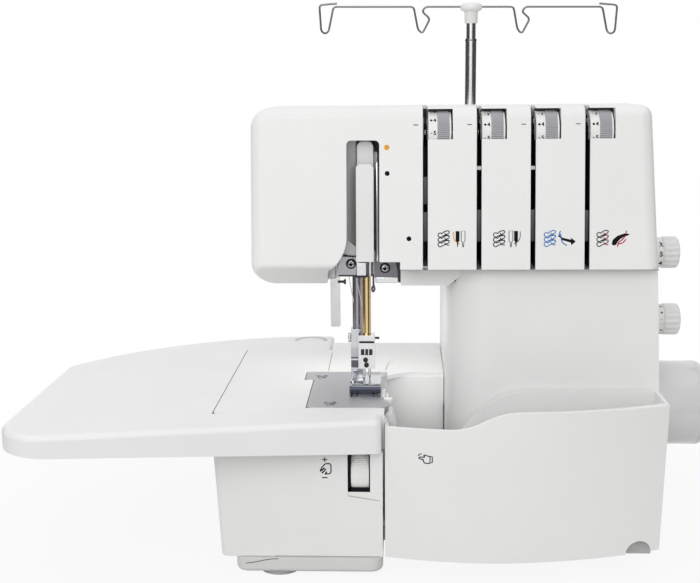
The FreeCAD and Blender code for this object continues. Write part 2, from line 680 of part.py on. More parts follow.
def make_column_cover():
    cover = new_body("column_cover")
    low, high = "base_top + 6.5", "panel_low - seam"
    plan = rectangle("column_left", "column_right", "column_front", "split_y - seam")
    pad(cover, "z", plan, low, high)
    taper_side(cover)
    round_edges(cover, "column_round", corner_edges("z", plan[0]))
    # the lip under the head, run out to the left of the column
    lip = [("lip_left", "lip_low"), ("column_left", "lip_low"), ("column_left + 16", high),
           ("lip_left", high)]
    pad(cover, "y", lip, "column_front + 9", "split_y - seam")
    gusset = [("column_left - 6", "lip_low + 1"), ("column_left - 6", "lip_low"),
              ("column_left", "lip_low - 6", "column_left - 1.8", "lip_low - 1.8"),
              ("column_left + 1", "lip_low - 6"), ("column_left + 1", "lip_low + 1")]
    pad(cover, "y", gusset, "column_front + column_round", "split_y - seam")
    # inside of the shell, in steps that follow the rounded corner
    roof = high + " - wall"
    for inset_x, inset_y in (("wall", "column_round"), ("10", "10"), ("column_round", "wall")):
        left = "column_left + %s" % inset_x
        pocket(cover, "y", [(left, low + " - 1"), (side_at(low, "wall"), low + " - 1"),
                            (side_at(roof, "wall"), roof), (left, roof)],
               "column_front + %s" % inset_y, "split_y")
    pocket(cover, "y", rectangle("lip_left + wall", "column_left + 12", "lip_low + wall", roof),
           "column_front + 9 + wall", "split_y")
    node(cover, "column_cover")


def make_rear_cover():
    cover = new_body("rear_cover")
    low, shelf = "base_top + 0.5", "bed_skirt - seam"
    outline = [("bed_foot_left", low), (side_at(low), low), (side_at("head_top"), "head_top"),
               ("head_left", "head_top"), ("head_left", "head_low"), ("column_left", "head_low"),
               ("column_left", shelf), ("bed_foot_left", shelf)]
    pad(cover, "y", outline, "split_y", "body_rear")
    fall = [("split_y", "head_top"), ("body_rear", "head_top - rear_fall"),
            ("body_rear", "head_top + 2"), ("split_y", "head_top + 2")]
    pocket(cover, "x", fall, "head_left - 1", "column_right + 1")

    def top_edge(side):
        """The edge of the falling top on the left (-1) or the right (1)."""
        def wanted(edge):
            place, box = edge.CenterOfMass, edge.BoundBox
            near_top = place.z > size("head_top - rear_fall")
            return place.x * side > 0 and near_top and box.YLength > box.XLength + 50
        return wanted
    round_edges(cover, "14", top_edge(-1))
    round_edges(cover, "8", top_edge(1))
    round_edges(cover, "16", corner_edges("y", outline[4]))
    round_edges(cover, "7", edges_at("y", "body_rear", lambda c: c.z > size("panel_low")))
    roof = "head_top - rear_fall - wall"
    inner = [("bed_foot_left + wall", "base_top - 1"), (side_at(low, "wall"), "base_top - 1"),
             (side_at(roof, "wall + 1"), roof), ("head_left + 9", roof),
             ("head_left + 9", "head_low + wall"), ("column_left + wall", "head_low + wall"),
             ("column_left + wall", "bed_skirt + 1"), ("bed_foot_left + wall", "bed_skirt + 1")]
    pocket(cover, "y", inner, "split_y - 1", "body_rear - wall")
    lifter_gap = rectangle(LIFTER_X + 2, LIFTER_X + 13.5, 18, 66)
    pocket(cover, "z", lifter_gap, "head_low - 1", "head_low + wall + 1")
    bore(cover, "x", ("shaft_y", "shaft_z"), "shaft_radius + 1", "column_left - 1", "column_right + 1")
    for z in ("knob_high_z", "knob_low_z"):
        bore(cover, "x", ("knob_y", z), 3, side_at(z, "8"), side_at(z, "-2"))
    # openings of the power inlet and of the switch
    for opening in (rectangle("body_rear - 48", "body_rear - 18", 27, 49),
                    rectangle("body_rear - 43", "body_rear - 23", 55, 67)):
        pocket(cover, "x", opening, "column_right - 8", "column_right + 1")
    node(cover, "rear_cover")


# Needle bar, needles, take-up and the rocker shaft that moves them

def make_needle_drive():
    node(rod("rocker_rod", "x", (-70, "rocker_y", "rocker_z"), 238, "shaft_radius"), "rocker_shaft")

    fork_z = "rocker_z - 5"
    arm = new_body("rocker_arm")
    round_pad(arm, "x", ("rocker_y", "rocker_z"), 11, "needle_x - 10", "needle_x - 5.5")
    pad(arm, "x", [("rocker_y", "rocker_z - 8"), ("rocker_y", "rocker_z + 8"),
                   ("bar_y - 8", "%s + 7.3" % fork_z), ("bar_y - 8", "%s - 6.7" % fork_z)],
        "needle_x - 10", "needle_x - 5.5")
    pocket(arm, "x", [("bar_y - 9", "%s - 3.4" % fork_z), ("bar_y + 8", "%s - 1.9" % fork_z),
                      ("bar_y + 8", "%s + 3.3" % fork_z), ("bar_y - 9", "%s + 1.8" % fork_z)],
           "needle_x - 11", "needle_x - 5")
    bore(arm, "x", ("rocker_y", "rocker_z"), "shaft_radius", "needle_x - 11", "needle_x - 5")
    node(arm, "rocker_arm")

    lever = new_body("take_up_lever")
    round_pad(lever, "x", ("rocker_y", "rocker_z"), 10, "needle_x + 4", "needle_x + 8")
    pad(lever, "x", [("rocker_y", "rocker_z - 7"), ("rocker_y", "rocker_z + 9"),
                     ("bar_y - 10", "takeup_top - 8"), ("bar_y - 10", "takeup_top - 20")],
        "needle_x + 4", "needle_x + 8")
    left, right, high = "needle_x - 5.5", "needle_x + 5.4", "takeup_top - 0.8"
    pad(lever, "x", rectangle("bar_y - 15", "bar_y - 4.5", "takeup_top - 22", high), left, right)
    round_edges(lever, "4", corner_edges("y", (left, high), (right, high)))
    bore(lever, "x", ("rocker_y", "rocker_z"), "shaft_radius", "needle_x + 3", "needle_x + 9")
    node(lever, "take_up_lever")

    guard = new_body("take_up_guard")
    low, high = "nose_top - 6", "takeup_top - 15.5"
    left, right = "needle_x - 6.1", "needle_x + 5.7"
    pad(guard, "x", [(face_at(low, "8"), low), (face_at(low, "15"), low),
                     (face_at(high, "7.5"), high), (face_at(high, "5"), high)], left, right)
    round_edges(guard, "3", corner_edges("y", (left, high), (right, high)))
    pocket(guard, "x", [(face_at(low, "10"), low + " - 1"), (face_at(low, "17"), low + " - 1"),
                        (face_at(high, "12"), high + " - 2.5"), (face_at(high, "7"), high + " - 2.5")],
           left + " + 1.9", right + " - 1.9")
    node(guard, "take_up_guard")

    bar = rod("needle_rod", "z", ("needle_x", "bar_y", "clamp_top - 8"), "rocker_z + 4 - clamp_top",
              "bar_radius")
    node(bar, "needle_bar")
    collar = joined("collar_solid",
                    block("collar_block", "needle_x - 4.5", "needle_x + 4", "bar_y - 3.5", "bar_y + 5.5",
                          "%s - 7" % fork_z, "%s + 1" % "rocker_z - 4"),
                    rod("collar_pin", "x", ("needle_x - 10", "bar_y", fork_z), 6, 2))
    hole = rod("collar_hole", "z", ("needle_x", "bar_y", "rocker_z - 20"), 30, "bar_radius")
    node(less("collar", collar, hole), "needle_bar_collar")

    clamp = new_body("needle_clamp")
    block_plan = rectangle("needle_x - 5.8", "needle_x + 5.8", "bar_y - 6", "bar_y + 4.5")
    neck_plan = rectangle("needle_x - 4.8", "needle_x + 4.8", "bar_y - 5", "bar_y + 4")
    pad(clamp, "z", block_plan, "clamp_low", "clamp_top")
    pad(clamp, "z", neck_plan, "clamp_top", "clamp_top + 1.5")
    pad(clamp, "z", block_plan, "clamp_top + 1.5", "clamp_top + 5.5")
    bore(clamp, "z", ("needle_x", "bar_y"), "bar_radius", "clamp_top - 8", "clamp_top + 6")
    pocket(clamp, "y", rectangle("needle_x - 3.9", "needle_x + 3.9", "clamp_top - 8.4", "clamp_top - 4.2"),
           "bar_y - 7", "bar_y - 3.6")
    for side in ("-2", "2"):
        bore(clamp, "z", ("needle_x + %s" % side, "bar_y - 2"), 1, "clamp_low - 1", "clamp_low + 9")
    node(clamp, "needle_clamp")
    screws = [rod("set_screw", "y", ("needle_x + %s" % side, "bar_y - 7.2", z), 1.2, 1.7)
              for side, z in (("-0.8", "clamp_low + 6.3"), ("-0.2", "clamp_low + 2.7"))]
    screws.append(rod("clamp_pin", "x", ("needle_x + 5.8", "bar_y - 2", "clamp_top + 3"), 3, 0.8))
    node(group("clamp_screw_set", screws), "clamp_screws")
    needles = []
    for side, lift in (("-2", 0), ("2", 1.5)):
        profile = [(0, 0), (0.5, 4), (0.5, 18), (1, 20), (1, "clamp_low + 9 - needle_tip - %s" % lift),
                   (0, "clamp_low + 9 - needle_tip - %s" % lift)]
        needles.append(turned("needle", profile, "z",
                              ("needle_x + %s" % side, "bar_y - 2", "needle_tip + %s" % lift)))
    node(group("needle_pair", needles), "needles")


# Presser bar, foot and lifter

def make_presser():
    low, high = "bar_low", "bar_low + 96"
    node(rod("presser_rod", "z", ("presser_x", "presser_y", low), 96, "presser_radius"), "presser_bar")
    foot = new_body("presser_foot")
    sole, plate, roll = "bed_top + 0.4", "bed_top + 3", "bed_top + 6"
    left, right, front = "needle_x - 10", "needle_x + 9.7", "bar_y - 18.5"
    # flat sole that swells to a rounded toe in front of the needles
    side = [(front, sole), ("presser_y + 4", sole), ("presser_y + 4", plate), ("bar_y - 5", plate),
            ("bar_y - 7", roll), (front + " + 5", roll),
            (front, "bed_top + 2", front + " + 1.3", "bed_top + 4.9")]
    pad(foot, "x", side, left, right)
    needle_room = rectangle("needle_x - 4", "needle_x + 4", "bar_y - 5", "bar_y + 2")
    pocket(foot, "z", needle_room, "bed_top", plate + " + 1")
    holder = "bar_low + 14"
    pad(foot, "x", rectangle("presser_y - 4", "presser_y + 4", plate, holder),
        "presser_x - 4.5", "presser_x + 4.5")
    bore(foot, "z", ("presser_x", "presser_y"), "presser_radius", low, holder + " + 1")
    cheek = [("bar_y - 9", plate), ("presser_y + 3", plate), ("presser_y + 3", "bed_top + 9"),
             ("bar_y + 4", "bed_top + 9")]
    pad(foot, "x", cheek, left, left + " + 2.5")
    node(foot, "presser_foot")
    node(rod("foot_knob", "x", ("presser_x - 7", "presser_y", "bar_low + 7"), 2.5, 3.3), "foot_screw")

    lever = new_body("lifter_lever")
    left, right, low = LIFTER_X + 4.2, LIFTER_X + 11.4, 135
    round_pad(lever, "x", (LIFTER_Y, LIFTER_Z), 7, left - 0.8, right + 0.8)
    pad(lever, "x", rectangle(LIFTER_Y - 2, LIFTER_Y + 2, low, LIFTER_Z), left, right)
    round_edges(lever, "1", corner_edges("y", (left, low), (right, low)))
    bore(lever, "x", (LIFTER_Y, LIFTER_Z), "3 + run", left - 1, right + 1)
    node(lever, "lifter_lever")


# Guide plates under the head, and the screws of plate, guides and covers

def make_head_guides():
    front = "bar_y - 13"
    plate = new_body("thread_guide_plate")
    outline = [("takeup_left - 9", "nose_low - 1.5"), ("needle_x + 0.5", "nose_low - 1.5"),
               ("needle_x + 0.5", "nose_low + 8"), ("takeup_left + 5", "nose_low + 8"),
               ("takeup_left + 3", "nose_low + 12"), ("takeup_left - 5", "nose_low + 12")]
    pad(plate, "y", outline, front + " - 1.2", front)
    node(plate, "thread_guide_plate")
    bracket = new_body("lamp_bracket")
    pad(bracket, "y", [(-3.6, "nose_low - 2.5"), (14, "nose_low - 2.5"), (14, "nose_low + 1.5"),
                       (12, "nose_low + 11"), (-3.6, "nose_low + 11")], front + " - 1.5", front)
    pad(bracket, "z", rectangle(6.5, 14, front, front + " + 22"), "nose_low - 2.5", "nose_low - 1")
    node(bracket, "lamp_bracket")
    screws = [rod("guide_screw", "y", (x, front + " - %s" % sink, z), 1.6, 2.8)
              for x, z, sink in ((-19.5, "nose_low + 7", 2.8), (3.5, "nose_low + 4.2", 3.1))]
    screws += [rod("plate_screw", "z", (x, y, "bed_top + 0.2"), 0.6, 3.2)
               for x, y in ((-33, -89), (-43, -19))]
    places = ((60, 30), (160, 30), (-80, 60), (60, 220), (150, 220), (-60, 220))
    screws += [rod("cover_screw", "y", (x, "body_rear", z), 2, 4) for x, z in places]
    node(group("screw_set", screws), "body_screws")


# Loopers, knives and feed dog under the needle plate

def make_looper_side():
    x, z = LOOPER_PIVOTS["lower_looper"]
    lower = new_body("lower_looper_arm")
    round_pad(lower, "y", (x, z), 7, -46, -40)
    hook = [(x - 4, z), (x + 4, z), (x + 2, z + 46), (x + 8, z + 52), (x + 8, z + 54), (x - 2, z + 53)]
    pad(lower, "y", hook, -44, -42)
    node(joined("lower_solid", lower, rod("lower_rod", "y", (x, -66, z), 58, 4)), "lower_looper")

    x, z = LOOPER_PIVOTS["upper_looper"]
    upper = new_body("upper_looper_arm")
    round_pad(upper, "y", (x, z), 7, -58, -52)
    hook = [(x - 4, z), (x + 4, z), (x - 3, z + 30), (x - 9, z + 40), (x - 13, z + 42), (x - 7, z + 28)]
    pad(upper, "y", hook, -56, -54)
    node(joined("upper_solid", upper, rod("upper_rod", "y", (x, -66, z), 58, 4)), "upper_looper")

    y, z = KNIFE_PIVOT
    knife = new_body("upper_knife_arm")
    round_pad(knife, "x", (y, z), 6, 3.6, 7.6)
    arm = [(y - 5, z - 3), (y + 5, z + 3), (y - 24, 103), (y - 54, 104), (y - 54, 100), (y - 30, 97)]
    pad(knife, "x", arm, 3.6, 5.6)
    # the grip at its end stands beside the needle plate
    pad(knife, "x", rectangle(y - 56, y - 50, 98, 106.8), 2.6, 8.2)
    node(joined("knife_solid", knife, rod("knife_rod", "x", (-8, y, z), 15.6, 3)), "upper_knife")
    blade = new_body("lower_knife")
    pad(blade, "x", [(-60, "base_top + 6"), (-48, "base_top + 6"), (-48, 107), (-60, 104)], 1.3, 3.2)
    node(blade, "lower_knife")

    feed = new_body("feed_dog")
    pad(feed, "z", rectangle(FEED_BARS[0], FEED_BARS[1] + 3, FEED_ROWS[0][0], FEED_ROWS[1][1]), 99.2, 102)
    pocket(feed, "z", rectangle("needle_x - 5", "needle_x + 4.5", "bar_y - 6", "bar_y + 4"), 99, 103)
    pad(feed, "z", rectangle(-14, -5, FEED_ROWS[1][1], 2), 99.2, 102)
    for low, high in FEED_ROWS:
        for x in FEED_BARS:
            pad(feed, "z", rectangle(x, x + 3, low, high), 102, "bed_top + 0.1")
    node(feed, "feed_dog")


# Main shaft, handwheel, motor and belt

def belt_loop(y1, z1, r1, y2, z2, r2):
    """A band around two circles, as a face across X."""
    angle = math.atan2(z2 - z1, y2 - y1)
    spread = math.acos((r1 - r2) / math.hypot(y2 - y1, z2 - z1))

    def on(y, z, r, turn):
        return V(0, y + r * math.cos(turn), z + r * math.sin(turn))
    a, b = on(y1, z1, r1, angle + spread), on(y2, z2, r2, angle + spread)
    c, d = on(y2, z2, r2, angle - spread), on(y1, z1, r1, angle - spread)
    near = Part.Arc(d, on(y1, z1, r1, angle + math.pi), a).toShape()
    far = Part.Arc(b, on(y2, z2, r2, angle), c).toShape()
    return Part.Face(Part.Wire([Part.makeLine(a, b), far, Part.makeLine(c, d), near]))


def make_drive():
    node(rod("main_rod", "x", ("bed_left + 24", "shaft_y", "shaft_z"), "wheel_right - 8 - bed_left - 24",
             "shaft_radius"), "main_shaft")
    start = "column_right + 2"
    span = "(wheel_right - column_right - 2)"
    wheel = turned("handwheel", [("shaft_radius", 0), ("wheel_radius - 7", 0), ("wheel_radius - 2", 3),
                                 ("wheel_radius", 10), ("wheel_radius", span + " - 6"),
                                 ("wheel_radius - 6", span, "wheel_radius - 1.8", span + " - 1.8"),
                                 (0, span), (0, span + " - 8"), ("shaft_radius", span + " - 8")],
                   "x", (start, "shaft_y", "shaft_z"))
    node(wheel, "handwheel")

    pulleys = []
    for y, z, radius, hub in (("shaft_y", "shaft_z", "shaft_pulley", "shaft_radius"),
                              ("motor_y", "motor_z", "motor_pulley", "3")):
        rim = "%s + 2.5" % radius
        profile = [(hub, 0), (rim, 0), (rim, 1.5), (radius, 2.2), (radius, "belt_width + 3.8"),
                   (rim, "belt_width + 4.5"), (rim, "belt_width + 6"), (hub, "belt_width + 6")]
        pulleys.append(turned("pulley", profile, "x", ("belt_x - 3", y, z)))
    node(pulleys[0], "shaft_pulley")
    spindle = rod("motor_rod", "x", ("belt_x - 29", "motor_y", "motor_z"), 38, 3)
    node(joined("motor_pulley_solid", pulleys[1], spindle), "motor_pulley")

    loop = (size("shaft_y"), size("shaft_z"), size("shaft_pulley") + 0.3,
            size("motor_y"), size("motor_z"), size("motor_pulley") + 0.3)
    thick = size("belt_thick")
    outer = belt_loop(loop[0], loop[1], loop[2] + thick, loop[3], loop[4], loop[5] + thick)
    belt = doc.addObject("Part::Feature", "belt")
    belt.Shape = outer.cut(belt_loop(*loop)).extrude(V(size("belt_width"), 0, 0))
    belt.Placement = FreeCAD.Placement(V(size("belt_x"), 0, 0), FreeCAD.Rotation())
    node(belt, "drive_belt")

    motor = new_body("motor")
    round_pad(motor, "x", ("motor_y", "motor_z"), "motor_radius", "belt_x - 68", "belt_x - 8")
    pad(motor, "x", rectangle("motor_y - 20", "motor_y + 20", "base_top + 6", "motor_z - 10"),
        "belt_x - 60", "belt_x - 16")
    round_pad(motor, "x", ("motor_y", "motor_z"), 9, "belt_x - 8", "belt_x - 5")
    bore(motor, "x", ("motor_y", "motor_z"), "3 + run", "belt_x - 30", "belt_x - 4")
    node(motor, "motor")


# Dials and knobs

def make_dials():
    for index in range(4):
        start = slot_x(index, "slot_width / 2 + 0.3")
        profile = [("post_radius + run", 0), ("dial_radius", 0), ("dial_radius", "dial_width * 0.5"),
                   ("dial_radius - 0.5", "dial_width * 0.5 + 0.4"), ("dial_radius", "dial_width * 0.5 + 0.8"),
                   ("dial_radius", "dial_width"), ("post_radius + run", "dial_width")]
        name = "tension_dial_%d" % (index + 1)
        node(turned(name, profile, "x", (start, "dial_y", "dial_z")), name)

    for name, z in (("stitch_length_knob", "knob_high_z"), ("differential_feed_knob", "knob_low_z")):
        knob = new_body(name)
        start = side_at(z + " - knob_radius", "-0.6")
        ring_end = start + " + 15"
        round_pad(knob, "x", ("knob_y", z), "knob_radius - 0.6", start, ring_end)
        end = side_at(z, "-knob_reach")
        round_pad(knob, "x", ("knob_y", z), "knob_radius", ring_end, end)
        round_edges(knob, "2.5", edges_at("x", end))
        round_pad(knob, "x", ("knob_y", z), "3 - run", side_at(z, "5"), start + " + 1")
        node(knob, name)

    width = "(width_right - width_left)"
    dial = turned("cutting_width_dial", [("2 + run", 0), ("width_radius - 0.5", 0), ("width_radius", 0.8),
                                         ("width_radius", width + " - 0.8"), ("width_radius - 0.5", width),
                                         ("2 + run", width)],
                  "x", ("width_left", "width_y", "width_z"))
    node(dial, "cutting_width_dial")
    pins = [rod("width_pin", "x", (-23, "width_y", "width_z"), "bed_right - 1 - wall + 23", 2),
            rod("lifter_rod", "x", (LIFTER_X - FRAME_WALL, LIFTER_Y, LIFTER_Z), FRAME_WALL + 14, 3)]
    node(group("pin_pair", pins), "pivot_pins")


# Looper cover with its waste pocket, hinged on a rod

def make_looper_cover():
    cover = new_body("looper_cover")

    def outline(inset):
        """Plan of the pocket: the front wall bows outwards from the left end to the right one."""
        return [("lid_left + %s" % inset, "lid_rear - %s" % inset),
                ("lid_left + %s" % inset, "lid_front + %s" % inset),
                ("lid_right - %s" % inset, "lid_end_y + 1.2 * %s" % inset,
                 "lid_bulge_x", "lid_bulge + %s" % inset),
                ("lid_right - %s" % inset, "lid_rear - %s" % inset)]
    plan = outline("0")
    pad(cover, "z", plan, "lid_low", "lid_top")
    round_edges(cover, "4", corner_edges("z", plan[3]))
    plan = outline("2.4")
    plan[2] = ("lid_right - 6", plan[2][1]) + plan[2][2:]
    plan[3] = ("lid_right - 6", plan[3][1])
    pocket(cover, "z", plan, "lid_floor", "lid_top + 1")
    pocket(cover, "z", plan, "lid_low - 1", "lid_floor - wall")
    # the right end leans outwards, inside and outside, and the lower edge rises towards it
    pocket(cover, "y", [("lid_right - 6.5", "lid_floor"), ("lid_right - 5.5", "lid_floor"),
                        ("lid_right - 2.4", "lid_top + 1"), ("lid_right - 6.5", "lid_top + 1")],
           "lid_end_y + 4", "lid_rear - 2.4")
    pocket(cover, "y", [("lid_right - 3.6", "lid_low - 1"), ("lid_right + 1", "lid_low - 1"),
                        ("lid_right + 1", "lid_top"), ("lid_right", "lid_top")],
           "lid_bulge - 1", "lid_rear + 1")
    pocket(cover, "y", [("lid_bulge_x", "lid_low"), ("lid_bulge_x", "lid_low - 1"),
                        ("lid_right", "lid_low - 1"), ("lid_right", "lid_low + 2.6")],
           "lid_bulge - 1", "lid_rear + 1")
    # rim: low at the left, one soft wave up to the right, and lower still along the back
    low, high, wave_start, wave_end = size("lid_dip"), size("lid_top"), 44, 90
    half_width, half_height = (wave_end - wave_start) / 2, (high - low) / 2
    chord = math.hypot(half_width, half_height)
    sag = chord * (chord - half_width) / (2 * half_height)
    rim = [("lid_left - 1", "lid_dip"), (wave_start, "lid_dip"),
           (wave_start + half_width, low + half_height, wave_start + chord / 2, low + sag),
           (wave_end, "lid_top", wave_end - chord / 2, high - sag),
           (wave_end, "lid_top + 2"), ("lid_left - 1", "lid_top + 2")]
    pocket(cover, "y", rim, "lid_bulge - 2", "lid_front + 8")
    back = [("lid_left - 1", 62), (36, 62), (58, 88.7), (98, "lid_top", 72.6, 103.8), (98, "lid_top + 2"),
            ("lid_left - 1", "lid_top + 2")]
    pocket(cover, "y", back, "lid_front + 8", "lid_rear + 1")
    # finger notch in the skirt and the gaps for the hinge arms
    bore(cover, "y", (168, "lid_low + 1.5"), 8.8, "lid_bulge - 2", "lid_front + 24")
    for x in HINGE_ARMS:
        pocket(cover, "y", rectangle(x - 8, x + 7.5, "lid_low - 1", "lid_floor - wall"),
               "lid_rear - 8", "lid_rear + 1")
    for x in LID_LUGS:
        pad(cover, "x", rectangle("hinge_y - 4.4", "hinge_y + 4.4", "hinge_z", "lid_floor - wall"), x, x + 4)
        round_pad(cover, "x", ("hinge_y", "hinge_z"), 4.4, x, x + 4)
    bore(cover, "x", ("hinge_y", "hinge_z"), "rod_radius + run", LID_LUGS[0] - 2, LID_LUGS[1] + 6)
    node(cover, "looper_cover")
    span = LID_LUGS[1] - LID_LUGS[0] + 16
    start = (LID_LUGS[0] - 6, "hinge_y", "hinge_z")
    node(rod("hinge_rod", "x", start, span, "rod_radius"), "cover_hinge_rod")


# Extension table around the bed

def make_table():
    table = new_body("extension_table")

    def outline(inset):
        """Plan of the table: round front left corner, slanted front, bowed back, cut out for the bed."""
        bed_side = "bed_left - free - %s" % inset
        step_y = "bed_notch_y + free + %s" % inset
        step_x = "bed_notch_x - free - %s" % inset
        return [("table_left + %s" % inset, "table_front + table_round"),
                ("table_left + table_round", "table_front + %s" % inset,
                 "table_left + 0.27 * table_round + 0.7 * %s" % inset,
                 "table_front + 0.3 * table_round + 0.7 * %s" % inset),
                ("table_end_x - %s" % inset, "table_end_y + %s" % inset),
                ("table_end_x - %s" % inset, "bed_front - free - %s" % inset),
                (bed_side, "bed_front - free - %s" % inset), (bed_side, step_y),
                (step_x, step_y), (step_x, "table_rear - %s" % inset),
                ("table_left + %s" % inset, "table_turn - %s" % inset,
                 "table_left + 74", "table_rear - 33 - %s" % inset)]
    plan = outline("0")
    pad(table, "z", plan, "table_low", "bed_top")
    round_edges(table, "14", corner_edges("z", plan[8][:2]))
    round_edges(table, "5", corner_edges("z", plan[2]))

    def outer(place):
        beside = place.x < size("bed_left") - 5
        return place.y < size("bed_front") - 3 or beside or place.y > size("bed_notch_y") + 8
    round_edges(table, "4", edges_at("z", "bed_top", outer))
    pocket(table, "z", outline("table_wall"), "table_low - 1", "bed_top - table_wall")
    # the skirt gets lower towards the left end
    skirt = [("table_left - 1", "table_low - 1"), ("table_end_x", "table_low"),
             ("table_left - 1", "table_low_left")]
    pocket(table, "y", skirt, "table_front - 1", "table_rear + 1")
    node(table, "extension_table")


# Thread stand

def make_stand():
    first = "pole_x - 1.5 * spool_pitch"
    left = first + " - 21"
    right = first + " + 3 * spool_pitch + 21"
    base = new_body("spool_base")
    plan = rectangle(left, right, "body_rear + 0.4", "spool_y + 26")
    pad(base, "z", plan, "spool_low", "spool_top")
    round_edges(base, "20", corner_edges("z", plan[2], plan[3]))
    round_edges(base, "3", edges_at("z", "spool_top"))
    pocket(base, "z", rectangle(left + " + 6", right + " - 6", "body_rear + 5", "spool_y + 18"),
           "spool_low - 1", "spool_top - 3")
    node(base, "spool_base")
    holders = []
    pins = []
    for index in range(4):
        x = "%s + %d * spool_pitch" % (first, index)
        foot = "pin_radius + 1"
        pin = [(0, 0), (foot, 0), (foot, "holder_top"), ("pin_radius", "holder_top + 1"),
               ("pin_radius", "pin_top - spool_top - 2"), ("pin_radius - 1.5", "pin_top - spool_top"),
               (0, "pin_top - spool_top")]
        pins.append(turned("spool_pin", pin, "z", (x, "spool_y", "spool_top")))
        holder = [(foot, 0), (16.5, 0), (16.5, 3), (12, 4), (7, "holder_top"), (foot, "holder_top")]
        holders.append(turned("cone_holder", holder, "z", (x, "spool_y", "spool_top")))
    node(group("spool_pin_row", pins), "spool_pins")
    node(group("cone_holder_row", holders), "cone_holders")

    tube = [("mast_radius + run", 0), ("pole_radius", 0), ("pole_radius", "pole_top - spool_top"),
            ("mast_radius + run", "pole_top - spool_top")]
    node(turned("pole_tube", tube, "z", ("pole_x", "pole_y", "spool_top")), "pole_outer_tube")
    node(rod("mast", "z", ("pole_x", "pole_y", 150), "mast_top - 150", "mast_radius"), "pole_inner_tube")

    cap = turned("guide_cap", [(0, 2), ("mast_radius", 2), ("mast_radius", 0), (5.1, 0), (5.4, 9), (8, 10.2),
                               (8.8, 12.6), (8, 15.2), (6.4, 16), (0, 16)],
                 "z", ("pole_x", "pole_y", "stand_top - 16"))
    wire_hole = rod("cap_hole", "x", ("pole_x - 20", "pole_y", "guide_z"), 40, "wire_radius + 0.1")
    node(less("cap", cap, wire_hole), "thread_guide_cap")

    # over every spool the wire dips: safety-pin bends inside, loops that run back over the wire at both ends
    bend = ((0, 0, 0), (3.5, 0, -18), (7, 0, -21), (13.1, 0, -9.3), (6.7, 0, -3.8), (9.4, 0, 0))
    loop = ((0, 0, 0), (4.2, 0, -19.5), (7.2, -1.2, -21.3), (10, -2.4, -19.3), (11.2, -2.6, 1.2),
            (-3, -2.6, 2.4))
    middle = V(size("pole_x"), size("pole_y"), size("guide_z"))
    fall = -0.0105

    def along(start, side, shape):
        """Points of a bend that starts at a distance from the pole, on its left (-1) or right (1)."""
        for x, y, z in shape:
            reach = start + side * x
            yield middle + V(reach, y, z + fall * reach)
    points = list(along(-110.4, -1, loop))[::-1]
    for start in (-46, 33.7):
        points += along(start, 1, bend)
    points += along(104.2, 1, loop)
    spine = Part.makePolygon(points)
    ring = Part.Wire(Part.makeCircle(size("wire_radius"), points[0], points[1] - points[0]))
    wire = doc.addObject("Part::Feature", "guide_wire")
    wire.Shape = Part.Wire(spine).makePipeShell([ring], True, False, 2)
    node(wire, "thread_guide_wire")


# Power inlet and switch on the right side

def make_power():
    inlet = less("inlet",
                 block("inlet_block", "column_right - 14", "column_right",
                       "body_rear - 47.7", "body_rear - 18.3", 27.3, 48.7),
                 block("inlet_socket", "column_right - 12", "column_right + 1",
                       "body_rear - 44", "body_rear - 22", 31, 45))
    node(inlet, "power_inlet")
    switch = new_body("power_switch")
    middle_y, middle_z = "body_rear - 33", "61"
    face = side_at(middle_z)
    pad(switch, "y", [(face + " - 8", middle_z + " - 4.5"), (face + " + 2.6", middle_z + " - 4.8"),
                      (face + " + 1", middle_z), (face + " + 1.4", middle_z + " + 4.8"),
                      (face + " - 8", middle_z + " + 4.5")], middle_y + " - 8.5", middle_y + " + 8.5")
    round_pad(switch, "y", (face + " - 3", middle_z), 2, middle_y + " - 9.5", middle_y + " + 9.5")
    node(switch, "power_switch")


make_base()
make_frame()
make_bed()
make_face_cover()
make_tension_cover()
make_column_cover()
make_rear_cover()
make_needle_drive()
make_presser()
make_head_guides()
make_looper_side()
make_drive()
make_dials()
make_looper_cover()
make_table()
make_stand()
make_power()
doc.recompute()

broken = [thing.Name for thing in doc.Objects if {"Invalid", "Error"} & set(thing.State)]
if broken:
    raise ValueError("failed objects: " + ", ".join(broken))
for thing in NODES:
    if thing.Shape.isNull() or not thing.Shape.isValid():
        raise ValueError("no valid shape: " + thing.Label)

os.makedirs("parts", exist_ok=True)
for thing in NODES:
    thing.Shape.exportStep("parts/%s.step" % thing.Label)
print(len(NODES), "sub-parts")
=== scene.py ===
import json
import math

import bmesh
import bpy
from mathutils import Matrix, Vector
from mathutils.bvhtree import BVHTree


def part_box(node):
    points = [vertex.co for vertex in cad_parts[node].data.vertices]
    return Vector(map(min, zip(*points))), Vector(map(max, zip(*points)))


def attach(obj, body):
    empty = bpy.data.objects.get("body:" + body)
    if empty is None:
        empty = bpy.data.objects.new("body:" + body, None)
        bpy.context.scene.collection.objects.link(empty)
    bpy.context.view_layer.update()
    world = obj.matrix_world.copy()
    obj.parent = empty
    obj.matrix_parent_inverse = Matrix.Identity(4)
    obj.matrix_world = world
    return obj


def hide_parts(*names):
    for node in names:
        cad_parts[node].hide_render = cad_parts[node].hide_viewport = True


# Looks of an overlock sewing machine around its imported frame.
# Shapes are drawn in millimetres in the frame's own axes and turned into metres when a piece is added.

